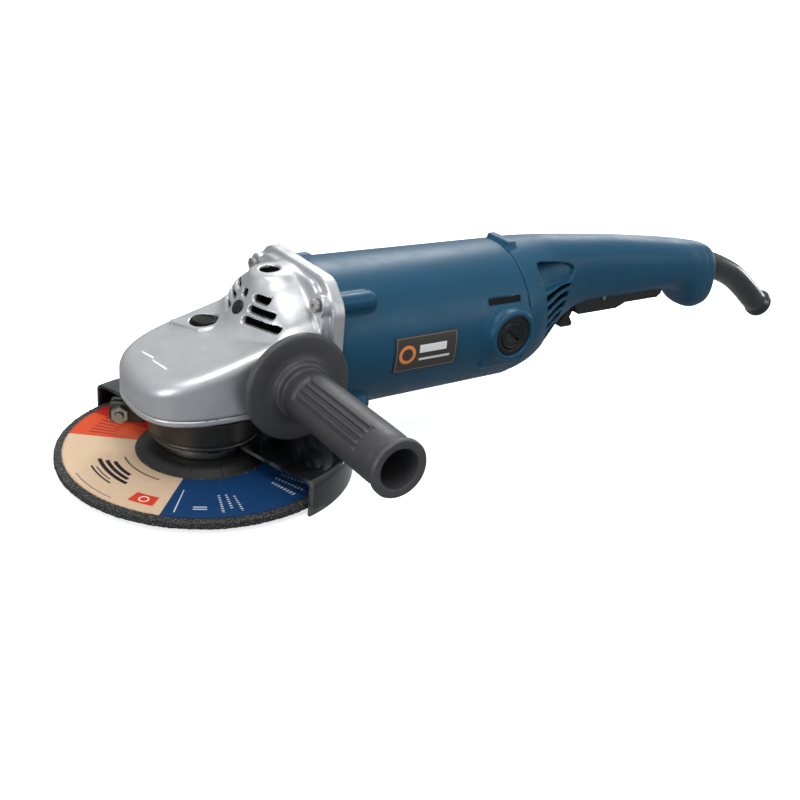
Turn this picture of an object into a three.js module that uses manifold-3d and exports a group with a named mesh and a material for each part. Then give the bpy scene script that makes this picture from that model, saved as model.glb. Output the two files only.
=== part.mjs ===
// Angle grinder with a 180 mm depressed-centre wheel, in millimetres.
// Origin: centre of the spindle's end face. +Z: up the spindle. +X: from the head to the tail handle.
// The side handle stands out towards -Y.
import * as THREE from 'three';
import { mergeVertices } from 'three/addons/utils/BufferGeometryUtils.js';
import Module from 'manifold-3d';

// ---- driving dimensions ----
const GAP = 0.3; // clearance between pieces that touch
const MOTOR_Z = 71.5; // height of the motor axis, where the gear cones meet
const WHEEL_RADIUS = 90;
const WHEEL_BOTTOM_Z = 1.2;
const WHEEL_TOP_Z = 6;
const HUB_RISE = 4.7; // depressed centre, seen as a raised hub from above
const WHEEL_BORE = 11.2;
const FLANGE_RADIUS = 26.5;
const NECK_RADIUS = 31;
const CASE_SEAM_Z = 46.6; // gear case sits on the bearing box here
const CASE_HALF_WIDTH = 43;
const CASE_NOSE_X = -49;
const FLANGE_FRONT_X = 57.5;
const CASE_REAR_X = 65.9;
const CASE_UNDERCUT_X = 48.3; // rear end of the bearing box's plate
const FLANGE_HALF = 49.8; // octagonal joint flange of the gear case
const FLANGE_CHAMFER = 14.5;
const CASE_SCREW_Y = 40;
const CASE_SCREW_DZ = 35.4;
const HOUSING_FRONT_X = 66.2;
const HOUSING_REAR_X = 211.8;
const HOUSING_RADIUS = 49;
const HOUSING_REAR_RADIUS = 47.5;
const HOUSING_BORE = 45;
const TAIL_FRONT_X = 212.4;
const BRUSH_X = 194.5;
const BRUSH_FACE_Y = 53;
const GEAR_TEETH = 33;
const PINION_TEETH = 10;
const GEAR_RADIUS = 33; // pitch radius at the outer end of the teeth
const TOOTH_SCALE = 0.77; // inner end of the teeth over their outer end
const LOCK_X = 8;
const LOCK_Y = 20;
const HANDLE_X = 35;
const HANDLE_Z = 63;
const HANDLE_FACE_Y = 50.2; // flat faces of the side-handle bosses
const TOP_BOSS_X = 41;
const TOP_BOSS_Z = 115.8;
const HANDLE_BORE = 6.3; // stands for the M14 thread of the three handle bosses
const GUARD_RADIUS = 93;
const GUARD_FROM = -74; // degrees, open at the front
const GUARD_TO = 114;
const CLAMP_ANGLE = 151.5;
const TRIGGER_PIN_X = 309.4;
const TRIGGER_PIN_Z = 70.8;
const LEVER_X = 290;
const LEVER_Z = 65.5;
const PLUNGER_X = 345;

const DEG = Math.PI / 180;
const wasm = await Module();
wasm.setup();

// ---- solids: closed geometries in, closed geometries out ----
function solid(geometry) {
  const bare = geometry.clone();
  bare.deleteAttribute('normal');
  bare.deleteAttribute('uv');
  const merged = mergeVertices(bare, 1e-4);
  const spots = merged.attributes.position;
  const corner = [new THREE.Vector3(), new THREE.Vector3(), new THREE.Vector3()];
  const kept = [];
  let volume = 0;
  for (let i = 0; i < merged.index.count; i += 3) {
    const ids = [0, 1, 2].map((k) => merged.index.getX(i + k));
    if (ids[0] === ids[1] || ids[1] === ids[2] || ids[2] === ids[0]) continue;
    ids.forEach((id, k) => corner[k].fromBufferAttribute(spots, id));
    volume += corner[0].dot(corner[1].clone().cross(corner[2]));
    kept.push(ids);
  }
  const order = volume < 0 ? [0, 2, 1] : [0, 1, 2];
  const triVerts = new Uint32Array(kept.flatMap((ids) => order.map((k) => ids[k])));
  const mesh = new wasm.Mesh({ numProp: 3, vertProperties: spots.array, triVerts });
  return new wasm.Manifold(mesh);
}

function geometryOf(manifold) {
  const mesh = manifold.getMesh();
  const geometry = new THREE.BufferGeometry();
  geometry.setAttribute('position', new THREE.BufferAttribute(mesh.vertProperties, 3));
  geometry.setIndex(new THREE.BufferAttribute(mesh.triVerts, 1));
  return geometry;
}

function join(...pieces) {
  return geometryOf(pieces.map(solid).reduce((all, piece) => all.add(piece)));
}

function cut(base, ...tools) {
  return geometryOf(tools.reduce((left, tool) => left.subtract(solid(tool)), solid(base)));
}

function common(first, second) {
  return geometryOf(solid(first).intersect(solid(second)));
}

// A profile of [radius, height] points turned about Z; a ring's profile closes on itself.
function turned(profile, sides = 32) {
  const points = profile.map(([r, z]) => new THREE.Vector2(r, z));
  const onAxis = profile[0][0] === 0 && profile.at(-1)[0] === 0;
  if (!onAxis) points.push(points[0].clone());
  const lathe = new THREE.LatheGeometry(points, sides);
  return lathe.rotateX(Math.PI / 2);
}

function rod(radius, from, to, sides = 24) {
  const cylinder = new THREE.CylinderGeometry(radius, radius, to - from, sides);
  return cylinder.rotateX(Math.PI / 2).translate(0, 0, (from + to) / 2);
}

function ring(inner, outer, from, to, sides = 32) {
  return turned([[inner, from], [outer, from], [outer, to], [inner, to]], sides);
}

function slab(x, y, z) {
  const box = new THREE.BoxGeometry(x[1] - x[0], y[1] - y[0], z[1] - z[0]);
  return box.translate((x[0] + x[1]) / 2, (y[0] + y[1]) / 2, (z[0] + z[1]) / 2);
}

function prism(outline, from, to) {
  const shape = new THREE.Shape(outline.map(([x, y]) => new THREE.Vector2(x, y)));
  const settings = { depth: to - from, bevelEnabled: false };
  return new THREE.ExtrudeGeometry(shape, settings).translate(0, 0, from);
}

// Turns a piece made about Z so that its Z runs along +X, or along +Y or -Y.
const alongX = (geometry) => geometry.rotateY(Math.PI / 2);
const alongY = (geometry, side) => geometry.rotateX((-side * Math.PI) / 2);

// Skins a row of closed sections that all have the same number of points.
function loft(sections) {
  const count = sections[0].length;
  const spots = sections.flat(2);
  const faces = [];
  for (let s = 0; s + 1 < sections.length; s += 1) {
    for (let i = 0; i < count; i += 1) {
      const a = s * count + i;
      const b = s * count + ((i + 1) % count);
      faces.push(a, b, b + count, a, b + count, a + count);
    }
  }
  const last = (sections.length - 1) * count;
  for (let i = 1; i + 1 < count; i += 1) {
    faces.push(0, i + 1, i, last, last + i, last + i + 1);
  }
  const geometry = new THREE.BufferGeometry();
  geometry.setAttribute('position', new THREE.Float32BufferAttribute(spots, 3));
  geometry.setIndex(faces);
  return geometry;
}

// Skins profiles that stand round an axis and close on the first one.
function crown(profiles) {
  const count = profiles[0].length;
  const faces = [];
  profiles.forEach((profile, s) => {
    const next = ((s + 1) % profiles.length) * count;
    for (let i = 0; i < count; i += 1) {
      const j = (i + 1) % count;
      const a = s * count;
      faces.push(a + i, next + i, next + j, a + i, next + j, a + j);
    }
  });
  const geometry = new THREE.BufferGeometry();
  geometry.setAttribute('position', new THREE.Float32BufferAttribute(profiles.flat(2), 3));
  geometry.setIndex(faces);
  return geometry;
}

function arc(radius, from, to, steps, centre = [0, 0]) {
  return Array.from({ length: steps + 1 }, (_, i) => {
    const angle = (from + ((to - from) * i) / steps) * DEG;
    return [centre[0] + radius * Math.cos(angle), centre[1] + radius * Math.sin(angle)];
  });
}

// Superellipse: power 2 is an ellipse, and more is squarer.
function squircle(halfWidth, halfHeight, power, count) {
  return Array.from({ length: count }, (_, i) => {
    const angle = (2 * Math.PI * (i + 0.5)) / count;
    const u = Math.cos(angle);
    const v = Math.sin(angle);
    const bend = 2 / power;
    return [
      halfWidth * Math.sign(u) * Math.abs(u) ** bend,
      halfHeight * Math.sign(v) * Math.abs(v) ** bend,
    ];
  });
}

// Value at x on a line through [x, value] points.
function along(table, x) {
  const i = Math.max(1, table.findIndex(([at]) => at >= x));
  const [x0, v0] = table[i - 1];
  const [x1, v1] = table[i];
  return v0 + ((v1 - v0) * (x - x0)) / (x1 - x0);
}

function coil(radius, wire, length, turns) {
  const steps = turns * 8;
  const path = Array.from({ length: steps + 1 }, (_, i) => {
    const angle = (2 * Math.PI * i) / 8;
    const z = wire + ((length - 2 * wire) * i) / steps;
    return new THREE.Vector3(radius * Math.cos(angle), radius * Math.sin(angle), z);
  });
  const section = new THREE.Shape(arc(wire, 0, 270, 3).map(([x, y]) => new THREE.Vector2(x, y)));
  const extrudePath = new THREE.CatmullRomCurve3(path);
  return new THREE.ExtrudeGeometry(section, { steps, extrudePath, bevelEnabled: false });
}

// ---- gear case ----
const caseTop = (x) => 68 + 0.29 * (x + 38);

function caseOutline(inset, rearX) {
  const front = squircle(1, 1, 2.8, 36).filter(([u]) => u < 0);
  const nose = front.map(([u, v]) => [
    6 + u * (6 - CASE_NOSE_X - inset),
    v * (CASE_HALF_WIDTH - inset),
  ]);
  const side = CASE_HALF_WIDTH - inset;
  return [...nose, [rearX, -side], [rearX, side]];
}

function caseNose() {
  const steps = [[0, 10], [1.2, 5], [4, 1.6], [9, 0]];
  const rounded = steps.map(([inset, drop]) =>
    caseOutline(inset, 54).map(([x, y]) => [x, y, caseTop(x) - drop]),
  );
  const bottom = caseOutline(0, 54).map(([x, y]) => [x, y, CASE_SEAM_Z]);
  return loft([bottom, ...rounded]);
}

function aboutMotor(profile, sides) {
  return alongX(turned(profile.map(([x, r]) => [r, x]), sides)).translate(0, 0, MOTOR_Z);
}

function caseDome() {
  const front = [[9, 0], [12, 10], [16, 17.5], [21, 25], [24, 31], [27, 36], [31, 40.5], [37, 43.8]];
  return aboutMotor([...front, [45, 45.5], [58.5, 47], [58.5, 0]], 32);
}

function caseFlange() {
  const near = FLANGE_HALF - FLANGE_CHAMFER;
  const far = FLANGE_HALF;
  const quarter = [[near, far], [-near, far], [-far, near], [-far, -near]];
  const rest = quarter.map(([a, b]) => [-a, -b]);
  return alongX(prism([...quarter, ...rest], FLANGE_FRONT_X, CASE_REAR_X)).translate(0, 0, MOTOR_Z);
}

function sideBoss(side) {
  const boss = alongY(rod(14, 36, HANDLE_FACE_Y, 28), side);
  return boss.translate(HANDLE_X, 0, HANDLE_Z);
}

function sideBossBore(side) {
  const bore = alongY(rod(HANDLE_BORE, 32, 60, 16), side);
  return bore.translate(HANDLE_X, 0, HANDLE_Z);
}

function screwSpots() {
  return [[-1, 1], [1, 1], [1, -1], [-1, -1]].map(([y, z]) => [
    y * CASE_SCREW_Y,
    MOTOR_Z + z * CASE_SCREW_DZ,
  ]);
}

function screwPads() {
  return screwSpots().map(([y, z]) => alongX(rod(6.6, 51.8, FLANGE_FRONT_X + 1, 12)).translate(0, y, z));
}

function screwRecesses() {
  return screwSpots().flatMap(([y, z]) => [
    alongX(rod(6.2, 24, 51.8, 12)).translate(0, y, z),
    alongX(rod(2.7, 50, 70, 8)).translate(0, y, z),
  ]);
}

function airChamber() {
  const rear = aboutMotor([[49, 21], [49, 41], [70, 41], [70, 21]], 24);
  const outline = [[50, 21], [50, 41], [40, 39.5], [33, 34], [28, 27], [27, 21]];
  const front = common(aboutMotor(outline, 24), slab([0, 60], [-50, 50], [84, 120]));
  return [rear, front];
}

function ventSlots() {
  const rows = [[104.4, 10, 3.8], [98.2, 17, 3.8], [91.8, 23, 3.8]];
  const slots = rows.flatMap(([z, length, height]) =>
    [-1, 1].map((side) => {
      const half = length / 2;
      const round = height / 2;
      const outer = arc(round, -90, 90, 4, [half - round, 0]);
      const inner = arc(round, 90, 270, 4, [round - half, 0]);
      const ends = [...outer, ...inner];
      const slot = prism(ends, 4, 36).rotateX(Math.PI / 2).rotateZ(Math.PI / 2);
      return slot.translate(0, side * (8.5 + half), z);
    }),
  );
  const square = slab([15, 38], [-2.4, 2.4], [102, 106.4]);
  const plugSeat = alongX(rod(4, 16, 34, 16)).translate(0, 0, 96);
  return [...slots, square, plugSeat];
}

function gearCase() {
  const bezel = rod(12.5, 72, 82.2, 28).translate(LOCK_X, LOCK_Y, 0);
  const bosses = [bezel, sideBoss(-1), sideBoss(1), ...screwPads()];
  const outside = join(caseNose(), caseDome(), caseFlange(), ...bosses);
  const below = slab([-60, CASE_UNDERCUT_X], [-60, 60], [0, CASE_SEAM_Z]);
  const hollow = cut(outside, below, ...airChamber(), ...ventSlots());
  const bossed = join(hollow, rod(11.5, 97, TOP_BOSS_Z, 28).translate(TOP_BOSS_X, 0, 0));
  return cut(
    bossed,
    rod(HANDLE_BORE, 100, 130, 20).translate(TOP_BOSS_X, 0, 0),
    sideBossBore(-1),
    sideBossBore(1),
    ...screwRecesses(),
    rod(36, 30, 65.6, 32),
    rod(9.3, 60, 73, 20),
    aboutMotor([[12, 0], [12, 7.5], [20, 7.5], [20, 12.8], [47.2, 12.8], [47.2, 0]], 20),
    aboutMotor([[47, 0], [47, 16.3], [70, 16.3], [70, 0]], 24),
    rod(8.7, 69.5, 90, 20).translate(LOCK_X, LOCK_Y, 0),
    rod(3, 60, 80, 12).translate(LOCK_X, LOCK_Y, 0),
  );
}

function caseScrew() {
  const head = ring(1.6, 4.2, 48.7, 51.5, 10);
  return join(head, rod(4.2, 49.5, 51.5, 10), rod(2.2, 51, 84, 6));
}

function bearingBox() {
  const plate = prism(caseOutline(0, CASE_UNDERCUT_X - GAP), 42.6, CASE_SEAM_Z - GAP);
  const neck = rod(NECK_RADIUS, 22.8, 44, 32);
  return cut(join(plate, neck), rod(17.8, 27.7, 50, 28), rod(12, 20, 30, 20));
}

// ---- spindle line, about Z ----
function spindle() {
  const threaded = [[0, 0], [7, 0], [7, 22], [8.5, 22], [8.5, 27], [7.5, 27], [7.5, 39]];
  return turned([...threaded, [10, 39], [10, 44], [8, 44], [8, 65], [6, 65], [6, 72.5], [0, 72.5]], 16);
}

const towardsApex = (r, z, scale) => [r * scale, MOTOR_Z - (MOTOR_Z - z) * scale];

function drivenGear() {
  const pitchZ = MOTOR_Z - (GEAR_RADIUS * PINION_TEETH) / GEAR_TEETH;
  const tip = [GEAR_RADIUS + 0.4, pitchZ + 1.3];
  const root = [GEAR_RADIUS - 0.6, pitchZ - 2.2];
  const pitch = 360 / GEAR_TEETH;
  const profiles = [];
  for (let tooth = 0; tooth < GEAR_TEETH; tooth += 1) {
    const corners = [[0, root], [0.4, tip], [0.6, tip]];
    corners.forEach(([part, outer]) => {
      const angle = (tooth + part) * pitch * DEG;
      const inner = towardsApex(outer[0], outer[1], TOOTH_SCALE);
      const profile = [[8.3, 46], [30, 54], outer, inner, [8.3, 61.5]];
      profiles.push(profile.map(([r, z]) => [r * Math.cos(angle), r * Math.sin(angle), z]));
    });
  }
  const reach = Math.hypot(LOCK_X, LOCK_Y);
  const first = Math.atan2(LOCK_Y, LOCK_X) / DEG;
  const holes = [0, 90, 180, 270].map((turn) => {
    const [x, y] = arc(reach, first + turn, first + turn, 1)[0];
    return rod(3.3, 40, 70, 8).translate(x, y, 0);
  });
  return cut(crown(profiles), ...holes);
}

function innerFlange() {
  const bottom = WHEEL_TOP_Z + HUB_RISE + GAP;
  const spigot = [[7.3, 7], [WHEEL_BORE - GAP, 7], [WHEEL_BORE - GAP, bottom], [FLANGE_RADIUS, bottom]];
  return turned([...spigot, [FLANGE_RADIUS, 16.5], [14, 18], [14, 21.7], [7.3, 21.7]], 24);
}

function grindingWheel() {
  const hubTop = WHEEL_TOP_Z + HUB_RISE;
  const top = [[WHEEL_BORE, hubTop], [34, hubTop], [41.4, WHEEL_TOP_Z], [WHEEL_RADIUS, WHEEL_TOP_Z]];
  const under = [[WHEEL_RADIUS, WHEEL_BOTTOM_Z], [37, WHEEL_BOTTOM_Z], [30, 5.3], [WHEEL_BORE, 5.3]];
  return turned([...top, ...under], 44);
}

function lockNut() {
  const body = ring(7.3, 17, 0.4, 5, 24);
  const pinHoles = [0, 90, 180, 270].map((turn) => {
    const [x, y] = arc(12.5, turn, turn, 1)[0];
    return rod(2, -1, 3.4, 8).translate(x, y, 0);
  });
  return cut(body, ...pinHoles);
}

// ---- motor, about its own axis ----
function drivePinion() {
  const front = GEAR_RADIUS * TOOTH_SCALE;
  const bore = 4.8;
  const pitchRadius = (GEAR_RADIUS * PINION_TEETH) / GEAR_TEETH;
  const tip = pitchRadius + 1;
  const corners = [[-0.08, tip], [0.08, tip], [0.5, pitchRadius - 2.2]];
  const profiles = [];
  for (let tooth = 0; tooth < PINION_TEETH; tooth += 1) {
    corners.forEach(([part, radius]) => {
      const angle = ((tooth + part) * 2 * Math.PI) / PINION_TEETH;
      const edge = [[radius * TOOTH_SCALE, front], [radius, GEAR_RADIUS]];
      const profile = [[bore, front], ...edge, [bore, GEAR_RADIUS]];
      profiles.push(profile.map(([r, x]) => [r * Math.cos(angle), r * Math.sin(angle), x]));
    });
  }
  return crown(profiles);
}

function armatureShaft() {
  const front = [[0, 15], [4.5, 15], [4.5, 33.3], [7.2, 33.3], [7.2, 62], [6, 62]];
  return turned([...front, [6, 206], [3.7, 206], [3.7, 214.5], [0, 214.5]], 20);
}

function armatureCore() {
  const slots = 12;
  const outline = [];
  for (let slot = 0; slot < slots; slot += 1) {
    const at = (slot * 360) / slots;
    outline.push(...arc(24, at - 11, at + 11, 2), ...arc(17, at + 12, at + 18, 1));
  }
  return cut(prism(outline, 112, 163), rod(6.3, 100, 170, 20));
}

function fan() {
  const plate = ring(7, 38, 80, 82, 28);
  const hub = ring(7, 11, 80, 92, 20);
  const blades = Array.from({ length: 9 }, (_, i) => {
    const blade = slab([16, 37.5], [-0.7, 0.7], [81, 92]).rotateZ(0.25);
    return blade.rotateZ((i * 2 * Math.PI) / 9);
  });
  return cut(join(plate, hub, ...blades), rod(6.4, 70, 100, 20));
}

function statorCore() {
  const yoke = ring(36, HOUSING_BORE - 2 * GAP, 112, 163, 24);
  const poles = [0, 1].flatMap((i) => [
    slab([28, 38], [-9, 9], [112, 163]).rotateZ(i * Math.PI),
    slab([20, 29], [-16, 16], [112, 163]).rotateZ(i * Math.PI),
  ]);
  return cut(join(yoke, ...poles), rod(25, 100, 180, 24));
}

function fieldCoil(side) {
  const wound = slab([29.4, 32.6], [-14.5, 14.5], [103, 172]);
  const window = slab([20, 50], [-9.4, 9.4], [111.6, 163.4]);
  return cut(wound, window).rotateZ(side < 0 ? Math.PI : 0);
}

// ---- motor housing ----
function brushBoss(side) {
  const profile = [[0, 38], [17.6, 38], [17.6, 51.5], [16.4, BRUSH_FACE_Y], [0, BRUSH_FACE_Y]];
  const boss = alongY(turned(profile, 24), side);
  return boss.translate(BRUSH_X, 0, MOTOR_Z);
}

function brushBossBore(side) {
  const bore = alongY(turned([[0, 30], [9.3, 30], [9.3, 46], [13.9, 46], [13.9, 60], [0, 60]], 24), side);
  return bore.translate(BRUSH_X, 0, MOTOR_Z);
}

function screwRidges() {
  return screwSpots().map(([y, z]) => {
    const ridge = turned([[0, HOUSING_FRONT_X], [7, HOUSING_FRONT_X], [7, 85], [5, 89.6], [0, 92]], 12);
    return alongX(ridge).translate(0, y, z);
  });
}

function plateSector(inner, outer, growth) {
  const half = 14 + growth;
  const outline = arc(outer, -half, half, 6).concat(arc(inner, half, -half, 6));
  const flat = prism(outline, 104 - growth, 151 + growth);
  return alongX(flat.rotateZ(-87.9 * DEG)).translate(0, 0, MOTOR_Z);
}

function motorHousing() {
  const rear = [[209, HOUSING_REAR_RADIUS], [HOUSING_REAR_X, HOUSING_REAR_RADIUS - 1.2]];
  const skin = [[HOUSING_FRONT_X, 0], [HOUSING_FRONT_X, HOUSING_RADIUS], ...rear, [HOUSING_REAR_X, 0]];
  const outside = join(aboutMotor(skin, 48), ...screwRidges(), brushBoss(-1), brushBoss(1));
  const bore = aboutMotor([[60, 0], [60, HOUSING_BORE], [220, HOUSING_BORE], [220, 0]], 32);
  const screwBores = screwSpots().map(([y, z]) => alongX(rod(2.6, 60, 86, 8)).translate(0, y, z));
  const slots = [-1, 1].map((side) => {
    const slot = slab([178, 205], [-12, 12], [92, 94.4]);
    return slot.translate(0, side * 50, 0);
  });
  const bores = [brushBossBore(-1), brushBossBore(1), ...screwBores, ...slots];
  const shell = cut(outside, bore, ...bores, plateSector(48.1, 60, 0.4));
  const seat = aboutMotor([[206.2, 11.3], [206.2, 14.5], [216, 14.5], [216, 11.3]], 20);
  const spokes = [0, 1, 2, 3].map((i) => {
    const spoke = slab([13.5, 45.5], [-3, 3], [207, 211]).rotateZ((i + 0.5) * 90 * DEG);
    return alongX(spoke).translate(0, 0, MOTOR_Z);
  });
  return join(shell, seat, ...spokes);
}

function brushHolder(side) {
  const flange = [[9, 46.3], [13.6, 46.3], [13.6, 51.5], [10.2, 51.5], [10.2, 48], [0, 48]];
  const body = turned([[0, 17.5], [9, 17.5], ...flange], 20);
  const guide = slab([-6.3, 6.3], [-3.5, 3.5], [10, 60]);
  return alongY(cut(body, guide), side);
}

function brushCap(side) {
  const cap = turned([[0, 48.3], [9.8, 48.3], [9.8, 51.4], [9, 52.2], [0, 52.2]], 20);
  return alongY(cut(cap, slab([-6, 6], [-0.8, 0.8], [50.6, 60])), side);
}

// ---- tail handle: two shells that meet on the y = 0 plane ----
const TAIL_WIDTH = [
  [212, 47.2], [225, 44.6], [238, 38.5], [250, 31.5], [265, 26], [290, 22.8],
  [320, 21.6], [400, 21.5], [412, 20.9], [419, 20.3], [424, 18.6], [427, 15],
];
const TAIL_TOP = [
  [212, 118.6], [225, 119.4], [250, 118.4], [265, 117.6], [290, 115.4], [320, 112.4], [350, 108.8],
  [380, 104.8], [400, 101.8], [412, 99.6], [419, 98.2], [424, 96.3], [427, 93.4],
];
const TAIL_BOTTOM = [
  [212, 24.4], [225, 26.6], [238, 32], [250, 41], [262, 53], [275, 62.5], [290, 66.5], [350, 66.5],
  [378, 66.5], [391, 65], [397, 58.5], [404, 50], [412, 46.9], [419, 47.6], [424, 50.2], [427, 54.6],
];

function tailSection(x, at, wall, count) {
  const halfWidth = along(TAIL_WIDTH, at) - wall;
  const top = along(TAIL_TOP, at) - wall;
  const bottom = along(TAIL_BOTTOM, at) + wall;
  const power = at < 225 ? 2 : Math.min(2.5, 2 + (at - 225) / 100);
  const outline = squircle(halfWidth, (top - bottom) / 2, power, count);
  return outline.map(([y, z]) => [x, y, (top + bottom) / 2 + z]);
}

function tailOutside() {
  const front = [TAIL_FRONT_X, 219, 225, 238, 250, 262, 275, 290];
  const rear = [350, 378, 391, 397, 404, 412, 419, 424, 427];
  const stations = [...front, ...rear];
  return loft(stations.map((x) => tailSection(x, x, 0, 32)));
}

function tailInside() {
  const front = [[211, 213, 10], [240, 240, 9], [256, 256, 6], [275, 275, 4]];
  const rear = [[292, 292, 3.4], [380, 380, 3.4], [414, 414, 3.6], [423, 423, 4]];
  const stations = [...front, ...rear];
  return loft(stations.map(([x, at, wall]) => tailSection(x, at, wall, 20)));
}

function scoop(side) {
  const hollow = new THREE.SphereGeometry(1, 14, 8).scale(22, 8.5, 8);
  return hollow.rotateY(0.22).rotateZ(side * -0.5).translate(235, side * 45, 104);
}

function louvres(side) {
  return Array.from({ length: 6 }, (_, row) => {
    const slot = slab([-9 + row * 0.7, 9 - row * 0.7], [-14, 14], [-1.5, 1.5]).rotateY(-0.6);
    return slot.translate(240 - row, side * 46, 86 - row * 7);
  });
}

function tailShell() {
  const bar = slab([TAIL_FRONT_X + 1, 218], [-11, 11], [112, 121.4]);
  const open = cut(
    join(tailOutside(), bar),
    tailInside(),
    slab([279, 375], [-14, 14], [40, 81]),
    cordHole(),
    alongY(rod(2.1, -30, 30, 12), 1).translate(TRIGGER_PIN_X, 0, TRIGGER_PIN_Z),
  );
  return cut(open, ...[-1, 1].flatMap((side) => [scoop(side), ...louvres(side)]));
}

function tailHalf(shell, side) {
  const room = side > 0 ? [GAP / 2, 60] : [-60, -GAP / 2];
  return common(shell, slab([200, 460], room, [0, 140]));
}

function trigger() {
  const under = [[283, 67], [288, 60], [325, 60], [334, 63.5], [367, 63.5], [371, 66.4]];
  const profile = [[283, 74], ...under, [371, 74]];
  const body = prism(profile, -13.6, 13.6).rotateX(Math.PI / 2);
  const slot = slab([280, 297], [-4.3, 4.3], [50, 80]);
  const pinBore = alongY(rod(2.1, -30, 30, 12), 1).translate(TRIGGER_PIN_X, 0, TRIGGER_PIN_Z);
  return cut(body, slot, pinBore, leverPin(1.5, 9));
}

function leverPin(radius, reach) {
  return alongY(rod(radius, -reach, reach, 10), 1).translate(LEVER_X, 0, LEVER_Z);
}

function lockLever() {
  const front = [[287.2, 67.4], [286.6, 62], [283.5, 56], [280.4, 52], [279.6, 48.4], [281.4, 47.2]];
  const rear = [[291, 47.2], [292, 49.5], [288.6, 54.5], [291.4, 60], [293.2, 64.4], [291.6, 68.2]];
  const arm = [...front, ...rear];
  return cut(prism(arm, -4, 4).rotateX(Math.PI / 2), leverPin(1.5, 9));
}

// ---- cord guard: bent sleeve with a flared end ----
const CORD_ROUTE = new THREE.CatmullRomCurve3([
  new THREE.Vector3(424, 0, 82),
  new THREE.Vector3(444, 0, 75.3),
  new THREE.Vector3(467, 0, 65),
  new THREE.Vector3(486, 0, 52),
  new THREE.Vector3(500, 0, 41),
  new THREE.Vector3(511, 0, 34.5),
]);

function aroundCord(share, radius, angle) {
  const at = CORD_ROUTE.getPoint(share);
  const ahead = CORD_ROUTE.getTangent(share);
  const up = radius * Math.sin(angle);
  return [at.x - ahead.z * up, radius * Math.cos(angle), at.z + ahead.x * up];
}

function cordGuard() {
  const body = [[0, 10], [0.2, 10], [0.4, 9.9], [0.6, 9.7], [0.8, 9.6], [0.93, 9.6], [0.95, 11.6], [1, 11.6]];
  const bore = [[1, 6.4], [0.93, 5.4], [0.8, 4.6], [0.6, 4.6], [0.4, 4.6], [0.2, 4.6], [0, 4.6]];
  const sides = 16;
  const profiles = Array.from({ length: sides }, (_, i) => {
    const angle = (2 * Math.PI * i) / sides;
    return [...body, ...bore].map(([share, radius]) => aroundCord(share, radius, angle));
  });
  return crown(profiles);
}

function cordHole() {
  const hole = rod(10.3, -14, 24, 24);
  return alongX(hole).rotateY(Math.atan2(6.7, 20)).translate(436, 0, 78);
}

// ---- side handle, about its own axis ----
function sideHandleGrip() {
  const root = [[6.3, 0], [33.3, 0], [33.3, 3], [31.5, 4.2], [19, 4.6], [17.5, 8.5], [16.2, 12]];
  const grip = [[15.6, 30], [15.6, 96], [13.9, 103], [13.9, 105], [16.9, 108], [16.9, 110.5], [11.5, 110.5]];
  const body = turned([...root, ...grip, [11.5, 58], [6.3, 54]], 24);
  const grooves = [-12, 0, 12].map((turn) => {
    const groove = slab([14.6, 20], [-0.9, 0.9], [24, 92]);
    return groove.rotateZ((135 + turn) * DEG);
  });
  return cut(body, ...grooves);
}

function sideHandleStud() {
  return turned([[0, -15], [6, -15], [6, 52], [0, 52]], 20);
}

// ---- wheel guard ----
function wheelGuard() {
  const rim = arc(GUARD_RADIUS, GUARD_FROM, GUARD_TO, 32);
  const lip = arc(NECK_RADIUS + 4, GUARD_TO, GUARD_FROM + 360, 24);
  const top = prism([...rim, ...lip], 18, 20);
  const wall = arc(GUARD_RADIUS, GUARD_FROM, GUARD_TO, 32);
  const back = arc(GUARD_RADIUS - 1.6, GUARD_TO, GUARD_FROM, 32);
  const skirt = prism([...wall, ...back], -2, 19);
  return cut(join(top, skirt), rod(NECK_RADIUS + GAP, 10, 30, 32));
}

function guardBand() {
  const band = ring(NECK_RADIUS + GAP, 34.4, 20.3, 37.6, 32);
  const ears = slab([33, 57], [-4.6, 4.6], [23, 36]).rotateZ(CLAMP_ANGLE * DEG);
  const split = slab([20, 60], [-1.6, 1.6], [10, 40]).rotateZ(CLAMP_ANGLE * DEG);
  const bore = alongY(rod(2.8, -20, 20, 12), 1).translate(50, 0, 29.5).rotateZ(CLAMP_ANGLE * DEG);
  return cut(join(band, ears), rod(NECK_RADIUS + GAP, 10, 45, 32), split, bore);
}

function clampScrew() {
  const screw = join(rod(4.6, -8.6, -4.9, 12), rod(2.4, -6, 11, 10));
  return alongY(screw, 1).translate(50, 0, 29.5);
}

function clampNut() {
  return alongY(ring(3.1, 5.4, 4.9, 8.6, 6), 1).translate(50, 0, 29.5);
}

// ---- materials ----
function material(color, roughness, metalness) {
  return new THREE.MeshStandardMaterial({ color, roughness, metalness });
}

const LOOK = {
  casting: material('#b9bcc0', 0.38, 0.85),
  steel: material('#8d9094', 0.32, 0.95),
  darkSteel: material('#3b3c3e', 0.42, 0.8),
  blueShell: material('#21577a', 0.42, 0),
  blackShell: material('#1b1c1e', 0.45, 0),
  darkGrip: material('#2b2c2e', 0.6, 0),
  rubber: material('#141415', 0.55, 0),
  blackPaint: material('#101113', 0.2, 0.3),
  abrasive: material('#1e1d1c', 0.95, 0),
  copper: material('#b3663a', 0.35, 0.9),
  iron: material('#5c5f63', 0.5, 0.8),
  carbon: material('#2a2a2b', 0.8, 0.2),
  plate: material('#2a2523', 0.5, 0),
};

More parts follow.
